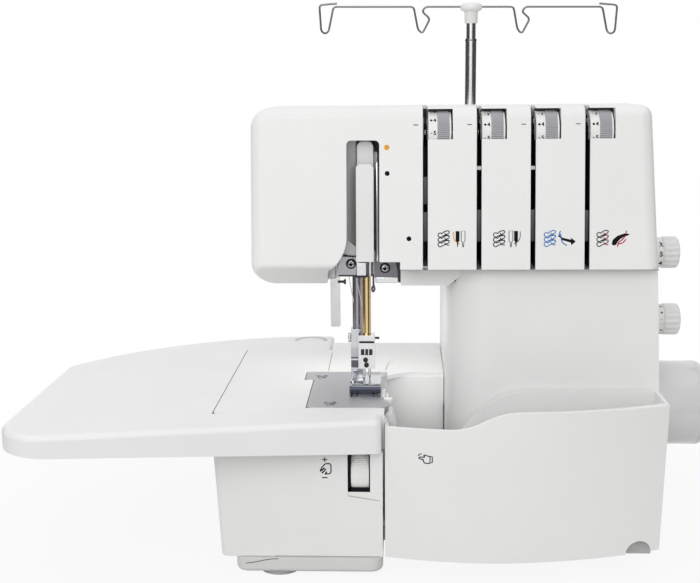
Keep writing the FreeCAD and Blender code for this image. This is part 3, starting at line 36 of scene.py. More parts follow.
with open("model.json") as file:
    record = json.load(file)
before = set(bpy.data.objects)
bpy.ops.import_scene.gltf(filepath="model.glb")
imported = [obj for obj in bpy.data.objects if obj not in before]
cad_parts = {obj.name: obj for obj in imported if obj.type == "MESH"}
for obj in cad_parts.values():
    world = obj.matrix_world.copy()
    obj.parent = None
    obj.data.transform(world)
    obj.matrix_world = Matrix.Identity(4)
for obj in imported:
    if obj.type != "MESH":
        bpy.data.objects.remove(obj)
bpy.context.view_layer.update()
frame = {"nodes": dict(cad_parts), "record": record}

MM = 0.001
scene = bpy.context.scene
scene.view_settings.view_transform = "Standard"
NODES = frame["nodes"]
BODY_OF = {node: body for body, members in frame["record"]["behaviour"]["bodies"].items() for node in members}
SLOT_OF = {part["node"]: part["material_slot"] for part in frame["record"]["subparts"]}
MATERIALS = {}


def add_object(name, data):
    thing = bpy.data.objects.new(name, data)
    scene.collection.objects.link(thing)
    return thing


def new_shapes(count):
    return [bmesh.new() for _ in range(count)]


def mesh_of(name, bm):
    """Turn a finished shape into mesh data."""
    mesh = bpy.data.meshes.new(name)
    bm.to_mesh(mesh)
    bm.free()
    return mesh


def set_inputs(tree, node, settings):
    """Fill the inputs of a shader node; a result of another node is linked."""
    for socket, value in settings.items():
        if isinstance(value, bpy.types.NodeSocket):
            tree.links.new(value, node.inputs[socket])
        else:
            node.inputs[socket].default_value = value


def new_node(tree, kind, settings=None, **attributes):
    node = tree.nodes.new("ShaderNode" + kind)
    for name, value in attributes.items():
        setattr(node, name, value)
    set_inputs(tree, node, settings or {})
    return node


# Camera

PHOTO_WIDTH = 700
FOCAL_PIXELS = 1150
SENSOR = 36
CAMERA_PLACE = Vector((0.013, -0.826, 0.319))
CAMERA_DOWN = math.radians(10.41)
CAMERA_LEFT = math.radians(2.49)
CAMERA_ROLL = math.radians(-0.5)


def add_camera():
    data = bpy.data.cameras.new("camera")
    data.sensor_width = SENSOR
    data.lens = SENSOR * FOCAL_PIXELS / PHOTO_WIDTH
    camera = add_object("camera", data)
    turn = Matrix.Rotation(CAMERA_LEFT, 4, "Z")
    tilt = Matrix.Rotation(math.pi / 2 - CAMERA_DOWN, 4, "X")
    roll = Matrix.Rotation(CAMERA_ROLL, 4, "Z")
    camera.matrix_world = Matrix.Translation(CAMERA_PLACE) @ turn @ tilt @ roll
    scene.camera = camera


# Light and stage, in metres

WHITE = (1, 1, 1, 1)
ROOM_LIGHT = 0.75
SEEN_LIGHT = 1.0
# name, place, target, size, power, whether mirrors show it, spread in degrees
LAMPS = (
    ("key", (-0.7, -1.8, 1.15), (0, 0, 0.16), (2.0, 1.4), 14.5, True, 180),
    ("top", (0.1, 0.1, 1.9), (0, 0, 0.1), (1.8, 1.4), 1.5, True, 180),
    ("work", (-0.012, -0.012, 0.181), (-0.012, 0, 0), (0.06, 0.06), 0.03, False, 180),
    ("chute", (0.014, -0.078, 0.124), (0.022, -0.004, 0.085), (0.03, 0.02), 0.0036, False, 70),
)
FLOOR_SIZE = 6
FLOOR_COLOUR = (0.60, 0.60, 0.59, 1)
SHADOW_REACH = (0.18, 0.55)
SHADOW_KEPT = 0.09
# name, first and last direction in degrees round from the front
CARDS = (("card_right", 28, 138), ("card_left", -138, -28))
CARD_NEAR = 0.45
CARD_REACH = 2.6
CARD_LIFT = 0.003
CARD_HEIGHT = 2.4
CARD_STEPS = 12
CARD_COLOUR = (0.11, 0.11, 0.115)


def add_lamp(name, place, target, size, power, mirrored, spread):
    data = bpy.data.lights.new(name, "AREA")
    data.shape = "RECTANGLE"
    data.size, data.size_y = size
    data.energy = power
    data.spread = math.radians(spread)
    lamp = add_object(name, data)
    way = Vector(target) - Vector(place)
    lamp.matrix_world = Matrix.Translation(place) @ way.to_track_quat("-Z", "Y").to_matrix().to_4x4()
    lamp.visible_camera = False
    lamp.visible_glossy = mirrored


def seen_rays(tree):
    """1 for rays that show the background itself: camera, mirror and see-through rays."""
    rays = new_node(tree, "LightPath").outputs
    seen = rays["Is Camera Ray"]
    for name in ("Is Glossy Ray", "Is Transmission Ray"):
        seen = new_node(tree, "Math", {0: seen, 1: rays[name]}, operation="MAXIMUM").outputs[0]
    return seen


def add_world():
    """A pale room: even light all round, plain white where the camera and mirrors look at it."""
    scene.world = bpy.data.worlds.new("studio")
    scene.world.use_nodes = True
    tree = scene.world.node_tree
    tree.nodes.clear()
    room = new_node(tree, "Background", {"Color": WHITE, "Strength": ROOM_LIGHT})
    seen = new_node(tree, "Background", {"Color": WHITE, "Strength": SEEN_LIGHT})
    mix = new_node(tree, "MixShader", {"Fac": seen_rays(tree), 1: room.outputs[0], 2: seen.outputs[0]})
    new_node(tree, "OutputWorld", {"Surface": mix.outputs[0]})


def add_stage():
    """A pale floor that keeps a soft shadow near the machine and runs out into white."""
    bm = bmesh.new()
    bmesh.ops.create_grid(bm, x_segments=1, y_segments=1, size=FLOOR_SIZE)
    floor = add_object("floor", mesh_of("floor", bm))
    tree, shader = new_material("floor")
    set_inputs(tree, shader, {"Base Color": FLOOR_COLOUR, "Roughness": 1.0, "Specular IOR Level": 0.0})
    place = new_node(tree, "TexCoord").outputs["Object"]
    far = new_node(tree, "VectorMath", {0: place}, operation="LENGTH").outputs["Value"]
    limits = dict(enumerate((far, *SHADOW_REACH, 1 - SHADOW_KEPT, 1.0)))
    fade = new_node(tree, "MapRange", limits, interpolation_type="SMOOTHSTEP").outputs[0]
    share = new_node(tree, "Math", {0: seen_rays(tree), 1: fade}, operation="MULTIPLY").outputs[0]
    glow = new_node(tree, "Emission").outputs[0]
    mix = new_node(tree, "MixShader", {"Fac": share, 1: shader.outputs[0], 2: glow})
    set_inputs(tree, tree.nodes["Material Output"], {"Surface": mix.outputs[0]})
    floor.data.materials.append(MATERIALS["floor"])


def add_card(name, first, last):
    """Dark card along the floor and upwards that only mirrors see."""
    bm = bmesh.new()
    angles = [math.radians(first + (last - first) * step / CARD_STEPS) for step in range(CARD_STEPS + 1)]
    rows = []
    for reach, level in ((CARD_NEAR, CARD_LIFT), (CARD_REACH, CARD_LIFT), (CARD_REACH, CARD_HEIGHT)):
        rows.append([bm.verts.new((reach * math.sin(a), -reach * math.cos(a), level)) for a in angles])
    for lower, upper in zip(rows, rows[1:]):
        for step in range(CARD_STEPS):
            bm.faces.new((lower[step], lower[step + 1], upper[step + 1], upper[step]))
    card = add_object(name, mesh_of(name, bm))
    paint(name, CARD_COLOUR, 0.9, shine=0.1)
    card.data.materials.append(MATERIALS[name])
    card.visible_camera = False
    card.visible_diffuse = False
    card.visible_shadow = False
    card.visible_transmission = False


# Materials: each maker keeps what it makes in MATERIALS under its name

NOISE_SPAN = (0.3, 0.7)
# where the inputs for colours start in a map range node
COLOUR_SOCKET = 6
PLASTIC_IOR = 1.48
PAINT_SPREAD = 0.08
PEEL_DEPTH = 0.000008
# grains in a metre
MOTTLE = 18
GLOSS_PATCHES = 60
PAINT_TONE = 40
ORANGE_PEEL = 700


def new_material(name):
    material = bpy.data.materials.new(name)
    material.use_nodes = True
    MATERIALS[name] = material
    return material.node_tree, material.node_tree.nodes["Principled BSDF"]


def noise(tree, scale, detail=3.0, stretch=(1, 1, 1)):
    """Noise in metres of the piece itself; scale is the number of grains in a metre."""
    place = new_node(tree, "TexCoord").outputs["Object"]
    shape = new_node(tree, "Mapping", {"Vector": place, "Scale": stretch}).outputs[0]
    return new_node(tree, "TexNoise", {"Vector": shape, "Scale": scale, "Detail": detail}).outputs["Fac"]


def ramp(tree, factor, low, high):
    """Spread a noise value between two numbers."""
    limits = dict(enumerate((factor, *NOISE_SPAN, low, high)))
    return new_node(tree, "MapRange", limits).outputs[0]


def tint(tree, factor, colour, spread):
    """Spread a noise value between a darker and a lighter shade of a colour."""
    span = [(limit, limit, limit) for limit in NOISE_SPAN]
    shades = [tuple(channel * share for channel in colour) for share in (1 - spread, 1 + spread)]
    limits = dict(enumerate((factor, *span, *shades), COLOUR_SOCKET))
    return new_node(tree, "MapRange", limits, data_type="FLOAT_VECTOR").outputs[1]


def bump(tree, height, depth):
    return new_node(tree, "Bump", {"Height": height, "Strength": 1.0, "Distance": depth}).outputs[0]


def plastic(name, colour, roughness, grain=2500, depth=0.000004, spread=0.012):
    """Moulded plastic: faint mottling, uneven gloss and a fine moulded grain."""
    tree, shader = new_material(name)
    set_inputs(tree, shader, {
        "Base Color": tint(tree, noise(tree, MOTTLE), colour, spread),
        "Roughness": ramp(tree, noise(tree, GLOSS_PATCHES, 5), roughness * 0.88, roughness * 1.12),
        "Normal": bump(tree, noise(tree, grain, 2), depth),
        "IOR": PLASTIC_IOR,
    })


def metal(name, colour, roughness, stretch=(1, 1, 1), grain=900, depth=0.000003, spread=0.06):
    """Bare metal with fine machining or brushing marks along the way it is stretched."""
    tree, shader = new_material(name)
    streaks = noise(tree, grain, 4, stretch)
    set_inputs(tree, shader, {
        "Metallic": 1.0,
        "Base Color": tint(tree, streaks, colour, spread),
        "Roughness": ramp(tree, streaks, roughness * 0.8, roughness * 1.25),
        "Normal": bump(tree, streaks, depth),
    })


def paint(name, colour, roughness, metallic=0.0, shine=0.5):
    """Satin paint with a slight orange peel."""
    tree, shader = new_material(name)
    peel = noise(tree, ORANGE_PEEL, 2)
    set_inputs(tree, shader, {
        "Metallic": metallic,
        "Specular IOR Level": shine,
        "Base Color": tint(tree, noise(tree, PAINT_TONE), colour, PAINT_SPREAD),
        "Roughness": ramp(tree, peel, roughness * 0.85, roughness * 1.15),
        "Normal": bump(tree, peel, PEEL_DEPTH),
    })


# slots of the record
plastic("cover_white", (0.86, 0.862, 0.855), 0.34)
plastic("table_white", (0.86, 0.868, 0.862), 0.38)
plastic("dial_grey", (0.46, 0.455, 0.48), 0.45)
plastic("knob_white", (0.85, 0.852, 0.845), 0.35)
metal("plate_steel", (0.53, 0.53, 0.55), 0.38, (1, 60, 60))
metal("bright_steel", (0.74, 0.74, 0.75), 0.14)
metal("bar_brass", (0.78, 0.58, 0.30), 0.16, (40, 40, 1))
metal("frame_metal", (0.55, 0.55, 0.56), 0.45, grain=400, depth=0.00003)
paint("dark_metal", (0.13, 0.12, 0.14), 0.35, 0.5)
metal("shaft_steel", (0.56, 0.56, 0.58), 0.25, (60, 60, 60))
plastic("foot_rubber", (0.42, 0.42, 0.42), 0.75, 900, 0.00003, 0.05)
plastic("belt_rubber", (0.02, 0.02, 0.02), 0.8, 900, 0.00003, 0.1)
plastic("black_plastic", (0.015, 0.015, 0.017), 0.4, 1500, 0.00001, 0.05)
plastic("stand_white", (0.85, 0.852, 0.845), 0.42)
# looks of single pieces
# the handwheel in a darker white, painted shade
plastic("wheel_shaded_white", (0.76, 0.762, 0.765), 0.13)
plastic("tray_white", (0.70, 0.70, 0.685), 0.36)
# lighter white that paints the highlight along the bin's rim
plastic("rim_highlight_white", (0.95, 0.952, 0.945), 0.2)
# grey that paints the shade in the bin's finger notch and the table's finger recess
paint("recess_shade_grey", (0.60, 0.60, 0.60), 0.6)
paint("well_grey", (0.12, 0.12, 0.13), 0.5)
metal("well_steel", (0.52, 0.52, 0.52), 0.45, (60, 60, 1))
metal("wire_steel", (0.22, 0.22, 0.24), 0.2)
metal("bar_steel", (0.40, 0.39, 0.43), 0.25, (60, 60, 1))
metal("guide_steel", (0.40, 0.40, 0.42), 0.3)
paint("bracket_grey", (0.19, 0.18, 0.21), 0.35, 0.5)
metal("foot_steel", (0.62, 0.63, 0.66), 0.2)
# near-black steel that paints a dark reflection on the front of the foot's toe
metal("toe_reflection_steel", (0.05, 0.055, 0.075), 0.25)
paint("lever_grey", (0.58, 0.58, 0.57), 0.4)
# grey for the real seams of the bed, and for the painted shadow under the panels
paint("seam_and_shadow_grey", (0.42, 0.42, 0.42), 0.6)
# printing inks
INKS = {"ink_black": (0.006, 0.006, 0.008), "ink_grey": (0.12, 0.12, 0.13), "ink_orange": (0.80, 0.36, 0.05),
        "ink_blue": (0.05, 0.19, 0.50), "ink_red": (0.50, 0.03, 0.05)}
for ink_name, ink_colour in INKS.items():
    paint(ink_name, ink_colour, 0.6, shine=0.1)
# nodes that look a little different from the other pieces of their slot
LOOKS = {"presser_bar": "bar_steel", "presser_foot": "foot_steel", "lifter_lever": "lever_grey",
         "upper_knife": "lever_grey", "lower_knife": "lever_grey", "feed_dog": "plate_steel",
         "thread_guide_plate": "guide_steel", "lamp_bracket": "bracket_grey", "base_tray": "tray_white"}


def look_of(node):
    return LOOKS.get(node, SLOT_OF[node])


def paint_nodes():
    for name, node in NODES.items():
        node.data.materials.clear()
        node.data.materials.append(MATERIALS[look_of(name)])


# Pieces: shapes are collected in a bmesh in millimetres

SMOOTH_BELOW = math.radians(40)
BEVEL_ABOVE = math.radians(38)
BEVEL_STEPS = 3
FLAT_BELOW = math.radians(0.2)
SAME_PLACE = 0.005
# how far the edges of a node are rounded
EDGES = {
    "base_tray": 0.8, "bed_front_cover": 0.3, "bed_top_cover": 0.6, "needle_plate": 0.35, "chute_wall": 0.5,
    "face_cover": 0.6, "tension_cover": 0.45, "column_cover": 0.7, "rear_cover": 0.7, "looper_cover": 0.9,
    "extension_table": 0.8, "take_up_lever": 0.9, "take_up_guard": 0.9, "lifter_lever": 0.6,
    "spool_base": 0.8, "presser_foot": 0.35, "needle_clamp": 0.5, "thread_guide_plate": 0.3,
    "lamp_bracket": 0.3, "rubber_feet": 0.6, "spool_pins": 0.4, "cone_holders": 0.5, "power_inlet": 0.4,
    "power_switch": 0.4,
}


def add_piece(name, bm, material, body="machine", node=None):
    """Turn a shape drawn in millimetres into a piece that rides on a body.

    A piece that stands in for a node rides on that node's body.
    """
    mesh = mesh_of(name, bm)
    mesh.transform(Matrix.Scale(MM, 4))
    mesh.shade_smooth()
    mesh.set_sharp_from_angle(angle=SMOOTH_BELOW)
    mesh.materials.append(MATERIALS[material])
    piece = add_object(name, mesh)
    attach(piece, BODY_OF[node] if node else body)
    if node:
        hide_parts(node)
    return piece


def add_print(name, bm, ink="ink_black", body="machine"):
    """A flat mark in one ink, added as a piece on a body. Marks of any ink count as
    black plastic.
    """
    add_piece(name, bm, ink, body)


def low_high(node):
    """Lowest and highest corner of a node in millimetres."""
    low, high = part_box(node)
    return low / MM, high / MM


def middle_of(node):
    low, high = low_high(node)
    return (low + high) / 2


def drum_of(node):
    """Left end of the axis of a node turned about X, its length and its radius."""
    low, high = low_high(node)
    centre = middle_of(node)
    return Vector((low.x, centre.y, centre.z)), high.x - low.x, (high.z - low.z) / 2


def dress(node, edge):
    """Stand a copy with rounded edges in for a node whose shape is right but whose edges are sharp."""
    bm = bmesh.new()
    bm.from_mesh(NODES[node].data)
    bmesh.ops.scale(bm, vec=(1 / MM, 1 / MM, 1 / MM), verts=bm.verts)
    bmesh.ops.remove_doubles(bm, verts=bm.verts, dist=SAME_PLACE)
    bmesh.ops.dissolve_limit(bm, angle_limit=FLAT_BELOW, verts=bm.verts, edges=bm.edges)
    piece = add_piece(node + "_form", bm, look_of(node), node=node)
    bevel = piece.modifiers.new("edges", "BEVEL")
    bevel.width = edge * MM
    bevel.segments = BEVEL_STEPS
    bevel.limit_method = "ANGLE"
    bevel.angle_limit = BEVEL_ABOVE
    bevel.miter_outer = "MITER_ARC"
    normals = piece.modifiers.new("normals", "WEIGHTED_NORMAL")
    normals.keep_sharp = True


# Shape helpers, all in millimetres

AXES = {
    "x": ((1, 0, 0), (0, -1, 0), (0, 0, 1)),
    "y": ((0, 1, 0), (1, 0, 0), (0, 0, 1)),
    "-y": ((0, -1, 0), (1, 0, 0), (0, 0, 1)),
    "z": ((0, 0, 1), (1, 0, 0), (0, 1, 0)),
}


def offset_by(points, *start):
    """Points given from a start, in two or three coordinates."""
    return [tuple(part + first for part, first in zip(point, start)) for point in points]


def add_box(bm, low, high, edge=0.0):
    """Block between two corners with its edges rounded off."""
    low, high = Vector(low), Vector(high)
    verts = bmesh.ops.create_cube(bm, size=1)["verts"]
    for vert in verts:
        vert.co = Vector(low[i] + (vert.co[i] + 0.5) * (high[i] - low[i]) for i in range(3))
    if edge:
        edges = list({line for vert in verts for line in vert.link_edges})
        bmesh.ops.bevel(bm, geom=edges, offset=edge, segments=BEVEL_STEPS, profile=0.5, affect="EDGES")


def add_rings(bm, rings, closed=False):
    """Skin between rings of points; a ring of one point closes an end."""
    pairs = list(zip(rings, rings[1:]))
    if closed:
        pairs.append((rings[-1], rings[0]))
    for first, second in pairs:
        count = max(len(first), len(second))
        for step in range(count):
            after = (step + 1) % count
            corners = [first[step % len(first)], first[after % len(first)],
                       second[after % len(second)], second[step % len(second)]]
            corners = list(dict.fromkeys(corners))
            if len(corners) > 2:
                bm.faces.new(corners)


def add_turned(bm, profile, where, axis, steps=64, ribs=0, depth=0.0, closed=False):
    """Turned shape through (along, radius) points.

    A point with a third entry takes that share of the rib depth off between the ribs.
    """
    along, right, up = (Vector(way) for way in AXES[axis])
    rings = []
    for length, radius, *share in profile:
        centre = Vector(where) + along * length
        if not radius:
            rings.append([bm.verts.new(centre)])
            continue
        ring = []
        for step in range(steps):
            angle = 2 * math.pi * step / steps
            hollow = depth * share[0] * (0.5 - 0.5 * math.cos(ribs * angle)) if share else 0
            out = right * math.cos(angle) + up * math.sin(angle)
            ring.append(bm.verts.new(centre + out * (radius - hollow)))
        rings.append(ring)
    add_rings(bm, rings, closed)


def arc_points(centre, radius, start, end, count=8):
    """Points on an arc between two angles in degrees."""
    for step in range(count + 1):
        angle = math.radians(start + (end - start) * step / count)
        yield (centre[0] + radius * math.cos(angle), centre[1] + radius * math.sin(angle))


def round_corners(points, reach, count=5):
    """A line of points with its inner corners bent round over a reach on both sides."""
    points = [Vector(point) for point in points]
    result = [points[0]]
    for before, corner, after in zip(points, points[1:], points[2:]):
        first = corner + (before - corner).normalized() * min(reach, (before - corner).length / 2)
        last = corner + (after - corner).normalized() * min(reach, (after - corner).length / 2)
        for step in range(count + 1):
            share = step / count
            result.append(first.lerp(corner, share).lerp(corner.lerp(last, share), share))
    result.append(points[-1])
    return result


def add_tube(bm, points, radius, steps=12):
    """Round wire through points, closed at both ends."""
    points = [Vector(point) for point in points]
    ways = []
    for index in range(len(points)):
        ways.append((points[min(index + 1, len(points) - 1)] - points[max(index - 1, 0)]).normalized())
    side = ways[0].orthogonal().normalized()
    rings = [[bm.verts.new(points[0])]]
    for point, way in zip(points, ways):
        side = (side - way * side.dot(way)).normalized()
        other = way.cross(side)
        rings.append([bm.verts.new(point + (side * math.cos(angle) + other * math.sin(angle)) * radius)
                      for angle in (2 * math.pi * step / steps for step in range(steps))])
    rings.append([bm.verts.new(points[-1])])
    add_rings(bm, rings)


def add_prism(bm, outline, low, high, axis):
    """Outline in two coordinates pushed through between two levels of the third."""
    def place(u, v, level):
        return {"x": (level, u, v), "y": (u, level, v), "z": (u, v, level)}[axis]
    rings = [[bm.verts.new(place(u, v, level)) for u, v in outline] for level in (low, high)]
    add_rings(bm, rings)
    for ring in rings:
        bm.faces.new(ring)


# Prints: flat shapes drawn in (u, v) and laid on a surface

PRINT = 0.05
# rays start this far out
OUTSIDE = 400
# extra width of the font and height of its figures, as shares of the figures' and the font's size
BOLDNESS = 0.045
FIGURE_SHARE = 0.7


def tree_of(node):
    """The faces of a node, to look up where rays meet it."""
    shape = bmesh.new()
    shape.from_mesh(NODES[node].data)
    tree = BVHTree.FromBMesh(shape)
    shape.free()
    return tree


def lay_on(node, from_above=False):
    """Place prints on a node, as seen from the sewing side or from above."""
    tree = tree_of(node)

    def in_front(u, v):
        hit = tree.ray_cast(Vector((u, -OUTSIDE, v)) * MM, Vector((0, 1, 0)))[0]
        return Vector((u, hit.y / MM - PRINT, v))

    def on_top(u, v):
        hit = tree.ray_cast(Vector((u, v, OUTSIDE)) * MM, Vector((0, 0, -1)))[0]
        return Vector((u, v, hit.z / MM + PRINT))
    return on_top if from_above else in_front


def lay_flat(level):
    """Place prints on a level surface."""
    def place(u, v):
        return Vector((u, v, level + PRINT))
    return place


def lay_round(start, radius):
    """Place prints on a drum along X; v runs round it from the front upwards."""
    def place(u, v):
        angle = v / radius
        out = radius + PRINT
        return Vector(start) + Vector((u, -out * math.cos(angle), out * math.sin(angle)))
    return place


def shifted(place, u_shift, v_shift):
    def moved(u, v):
        return place(u + u_shift, v + v_shift)
    return moved


def add_stroke(bm, points, width, place, closed=False):
    """Printed line of one width through (u, v) points."""
    points = [Vector(point) for point in points]
    count = len(points)
    edges = []
    for index, point in enumerate(points):
        before = points[index - 1] if index or closed else point
        after = points[(index + 1) % count] if index < count - 1 or closed else point
        way = (after - before).normalized()
        side = Vector((-way.y, way.x)) * width / 2
        edges.append((bm.verts.new(place(*(point - side))), bm.verts.new(place(*(point + side)))))
    if closed:
        edges.append(edges[0])
    for first, second in zip(edges, edges[1:]):
        bm.faces.new((first[0], second[0], second[1], first[1]))


def add_patch(bm, points, place):
    face = bm.faces.new([bm.verts.new(place(u, v)) for u, v in points])
    bmesh.ops.triangulate(bm, faces=[face])


def add_dot(bm, centre, radius, place):
    add_patch(bm, list(arc_points(centre, radius, 0, 350, 35)), place)


def add_text(bm, text, centre, height, place):
    """Plain bold figures, centred, with a given height."""
    curve = bpy.data.curves.new("figures", "FONT")
    curve.offset = height * BOLDNESS
    curve.body = text
    curve.align_x = "CENTER"
    curve.align_y = "CENTER"
    curve.size = height / FIGURE_SHARE
    holder = bpy.data.objects.new("figures", curve)
    mesh = bpy.data.meshes.new_from_object(holder)
    verts = [bm.verts.new(place(centre[0] + v.co.x, centre[1] + v.co.y)) for v in mesh.vertices]
    for face in mesh.polygons:
        bm.faces.new([verts[i] for i in face.vertices])
    bpy.data.objects.remove(holder)
    bpy.data.curves.remove(curve)
    bpy.data.meshes.remove(mesh)


# Tension dials

DIALS = 4
NUMBER_STEP = math.radians(36)
STANDARD_NUMBER = 4
STANDARD_ANGLE = math.radians(24)
FIRST_DIAL_TURN = math.radians(14)
RIDGES = 62
RIDGE_DEPTH = 0.9
# along the dial from its left end
BAND_WIDTH = 6.1
GRIP_END = 13.8
TICK = (1.3, 2.5)
DOT_AT = 1.9
FIGURE_AT = 4.2
BAND_STEP = 0.4
DRUM_BORE = 2.6
GRIP_BORE = 4
DIAL_EDGE = 0.3


def dial_name(index):
    return "tension_dial_%d" % (index + 1)


def add_dial_marks(shape, index, place, band):
    for number in range(10):
        angle = STANDARD_ANGLE - NUMBER_STEP * (number - STANDARD_NUMBER)
        if index == 0:
            angle += FIRST_DIAL_TURN
        level = angle * band
        add_text(shape, str(number), (FIGURE_AT, level), 2.6, place)
        if number == STANDARD_NUMBER:
            add_dot(shape, (DOT_AT, level), 0.8, place)
        else:
            add_stroke(shape, [(end, level) for end in TICK], 0.4, place)


def add_dial(index):
    """Two smooth bands with figures, and a ribbed grip between them."""
    name = dial_name(index)
    start, width, radius = drum_of(name)
    band = radius - BAND_STEP
    drum, grip, marks = new_shapes(3)
    for first, last in ((0, BAND_WIDTH), (GRIP_END, width)):
        profile = [(first, DRUM_BORE), (first, band - DIAL_EDGE), (first + DIAL_EDGE, band),
                   (last - DIAL_EDGE, band), (last, band - DIAL_EDGE), (last, DRUM_BORE)]
        add_turned(drum, profile, start, "x", 96, closed=True)
    add_piece(name + "_drum", drum, "knob_white", node=name)
    profile = [(BAND_WIDTH, GRIP_BORE), (BAND_WIDTH, radius - 0.5), (BAND_WIDTH + DIAL_EDGE, radius, 1),
               (GRIP_END - DIAL_EDGE, radius, 1), (GRIP_END, radius - 0.5), (GRIP_END, GRIP_BORE)]
    add_turned(grip, profile, start, "x", 6 * RIDGES, RIDGES, RIDGE_DEPTH, closed=True)
    add_piece(name + "_grip", grip, "dial_grey", BODY_OF[name])
    add_dial_marks(marks, index, lay_round(start, band), band)
    add_print(name + "_marks", marks, body=BODY_OF[name])


# Slots of the tension panels

HEAD_LEAN = 14
SLOT_HALF = 1.65
SLOT_GAP = 0.3
SLOT_FLOOR = -36
LINING = 0.12
LINING_BACK = 1.2
WINDOW_WIDTH = 16
POST_RADIUS = 2.4
# half section of a dished disc: distance from the middle of the slot, radius
DISC = ((0.12, 2.4), (0.12, 6.5), (0.5, 9), (1.25, 11.2), (1.5, 11.1), (0.8, 9), (0.4, 6.5), (0.4, 2.4))
# slot, lowest and highest point of the lighter parts that show in it
LIGHT_BANDS = ((0, 238, 256), (0, 213.5, 233), (1, 213.5, 234.5), (2, 213.5, 234.5), (3, 213.5, 234))
# slots in which a pale bar shows, and its height
PALE_BARS = (1, 2)
PALE_BAR_Z = 262


def face_y(z):
    """Front of the leaning head at a height."""
    low, high = low_high("tension_cover")
    return low.y + HEAD_LEAN * (z - low.z) / (high.z - low.z)


def slot_middle(index):
    return low_high(dial_name(index))[0].x - SLOT_GAP - SLOT_HALF


def add_discs(shape, middle, axis):
    """A pair of dished discs on their post."""
    start = (middle, axis.y, axis.z)
    for side in (-1, 1):
        add_turned(shape, [(side * along, radius) for along, radius in DISC], start, "x", 72, closed=True)
    end = SLOT_HALF + WINDOW_WIDTH
    post = [(-SLOT_HALF, 0), (-SLOT_HALF, POST_RADIUS), (end, POST_RADIUS), (end, 0)]
    add_turned(shape, post, start, "x", 32)


def line_slot(shape, left, right, axis):
    """Black floor and wall sheets that paint the shade inside a slot, and a black strip that paints the shade
    under the upper edge of its dial's window.
    """
    panel_low, panel_high = low_high("tension_cover")
    dial_low, dial_high = low_high(dial_name(0))
    bottom = panel_low.z + 1
    add_box(shape, (left, SLOT_FLOOR - 0.5, bottom), (right, SLOT_FLOOR, panel_high.z - 2))
    for wall, top, back in ((left, dial_high.z - 0.5, 9), (right - LINING, dial_low.z + 10, LINING_BACK)):
        outline = [(face_y(bottom) + LINING_BACK, bottom), (SLOT_FLOOR, bottom), (SLOT_FLOOR, top),
                   (face_y(top) + back, top)]
        add_prism(shape, outline, wall, wall + LINING, "x")
    # black strip painted as the shade under the upper edge of the window
    add_box(shape, (right + 0.2, axis.y - 1.4, dial_high.z + 0.05),
            (right + WINDOW_WIDTH, axis.y - 0.2, dial_high.z + 1.3))


def add_slots():
    discs, shade_sheets, bands, bars = new_shapes(4)
    axis = middle_of(dial_name(0))
    for index in range(DIALS):
        middle = slot_middle(index)
        left, right = middle - SLOT_HALF, middle + SLOT_HALF
        add_discs(discs, middle, axis)
        line_slot(shade_sheets, left, right, axis)
        if index in PALE_BARS:
            front = face_y(PALE_BAR_Z)
            add_box(bars, (left, front + 3, PALE_BAR_Z - 1.6), (right, front + 8, PALE_BAR_Z + 0.8), 0.3)
    for index, low, high in LIGHT_BANDS:
        middle = slot_middle(index)
        add_box(bands, (middle - SLOT_HALF + 0.15, face_y(low) + 6, low),
                (middle + SLOT_HALF - 0.15, face_y(low) + 9, high), 0.3)
    add_panel_seam()
    add_piece("disc_forms", discs, "bright_steel", node="tension_disc_sets")
    # the black sheets in the slots are painted shade
    add_piece("slot_shade_sheets", shade_sheets, "black_plastic")
    add_piece("slot_bands", bands, "well_grey")
    add_piece("slot_bars", bars, "knob_white")


def add_panel_seam():
    low, high = low_high("tension_cover")
    seam = bmesh.new()
    # grey strip painted as the shadow that the overhanging panels cast on the column
    add_box(seam, (low_high("column_cover")[0].x, low.y + 0.4, low.z - 0.7),
            (high.x - 1, low.y + 7.4, low.z - 0.05))
    add_piece("shadow_under_panels", seam, "seam_and_shadow_grey")


# Prints on the front of the head, drawn from the lower left corner of each picture

ICON_LOW = 210.8
LOOP_ROWS = 3
LOOP_ROW = 3.1
LOOP_LINE = 0.62
LOOP_ARCH = ((2.8, 2.5), (4.4, 3.9), (6.6, 4.5), (7.9, 4.0), (7.5, 2.8), (5.6, 1.9), (2.9, 0.8))
LOOP_TAIL = ((4.6, 2.9), (6.0, 1.4), (7.8, 1.3))
# for each slot: distance from it, ink of the loops and ink of their ends
LOOP_ICONS = ((7.9, "ink_black", "ink_black"), (9, "ink_black", "ink_black"), (6.9, "ink_blue", "ink_blue"),
              (5.9, "ink_black", "ink_red"))
# slot, distances of its two needles, which of them is filled, and the ink of its thread
NEEDLE_ICONS = ((0, (19.8, 23.4), 0, "ink_orange"), (1, (19.5, 22.8), 1, "ink_grey"))
NEEDLE_WIDTH = 2.5
NEEDLE_SHAPE = ((0, 10.4), (2.5, 10.4), (2.5, 4.2), (1.8, 3.2), (1.45, 0), (1.05, 0), (0.7, 3.2), (0, 4.2))
NEEDLE_THREAD = ((1.5, 10), (1.5, 6), (0.2, 3.6), (-2.6, 2.0))
LOWER_LOOPER_AT = 16.4
LOWER_LOOPER = ((0, 6.9), (0.6, 7.6), (2.8, 5.9), (8.4, 4.6), (8.2, 6.0), (11.3, 3.4), (8.4, 1.0), (8.2, 2.7),
                (2.4, 4.4), (1.6, 5.6))
LOWER_THREADS = (((0, 6.6), (1.4, 9), (1.8, 6), (2.6, 2.6), (5.6, 0.8)), ((0.6, 8.2), (1.4, 10.4)))
UPPER_LOOPER_AT = 15.7
UPPER_LOOPER = ((0.2, 1.6), (0.8, 4.4), (3.8, 7.0), (8.4, 8.6), (11.9, 8.2), (10.4, 7.1), (8.0, 6.4),
                (5.6, 4.9), (4.0, 3.0), (3.0, 1.2), (1.4, 0.8))
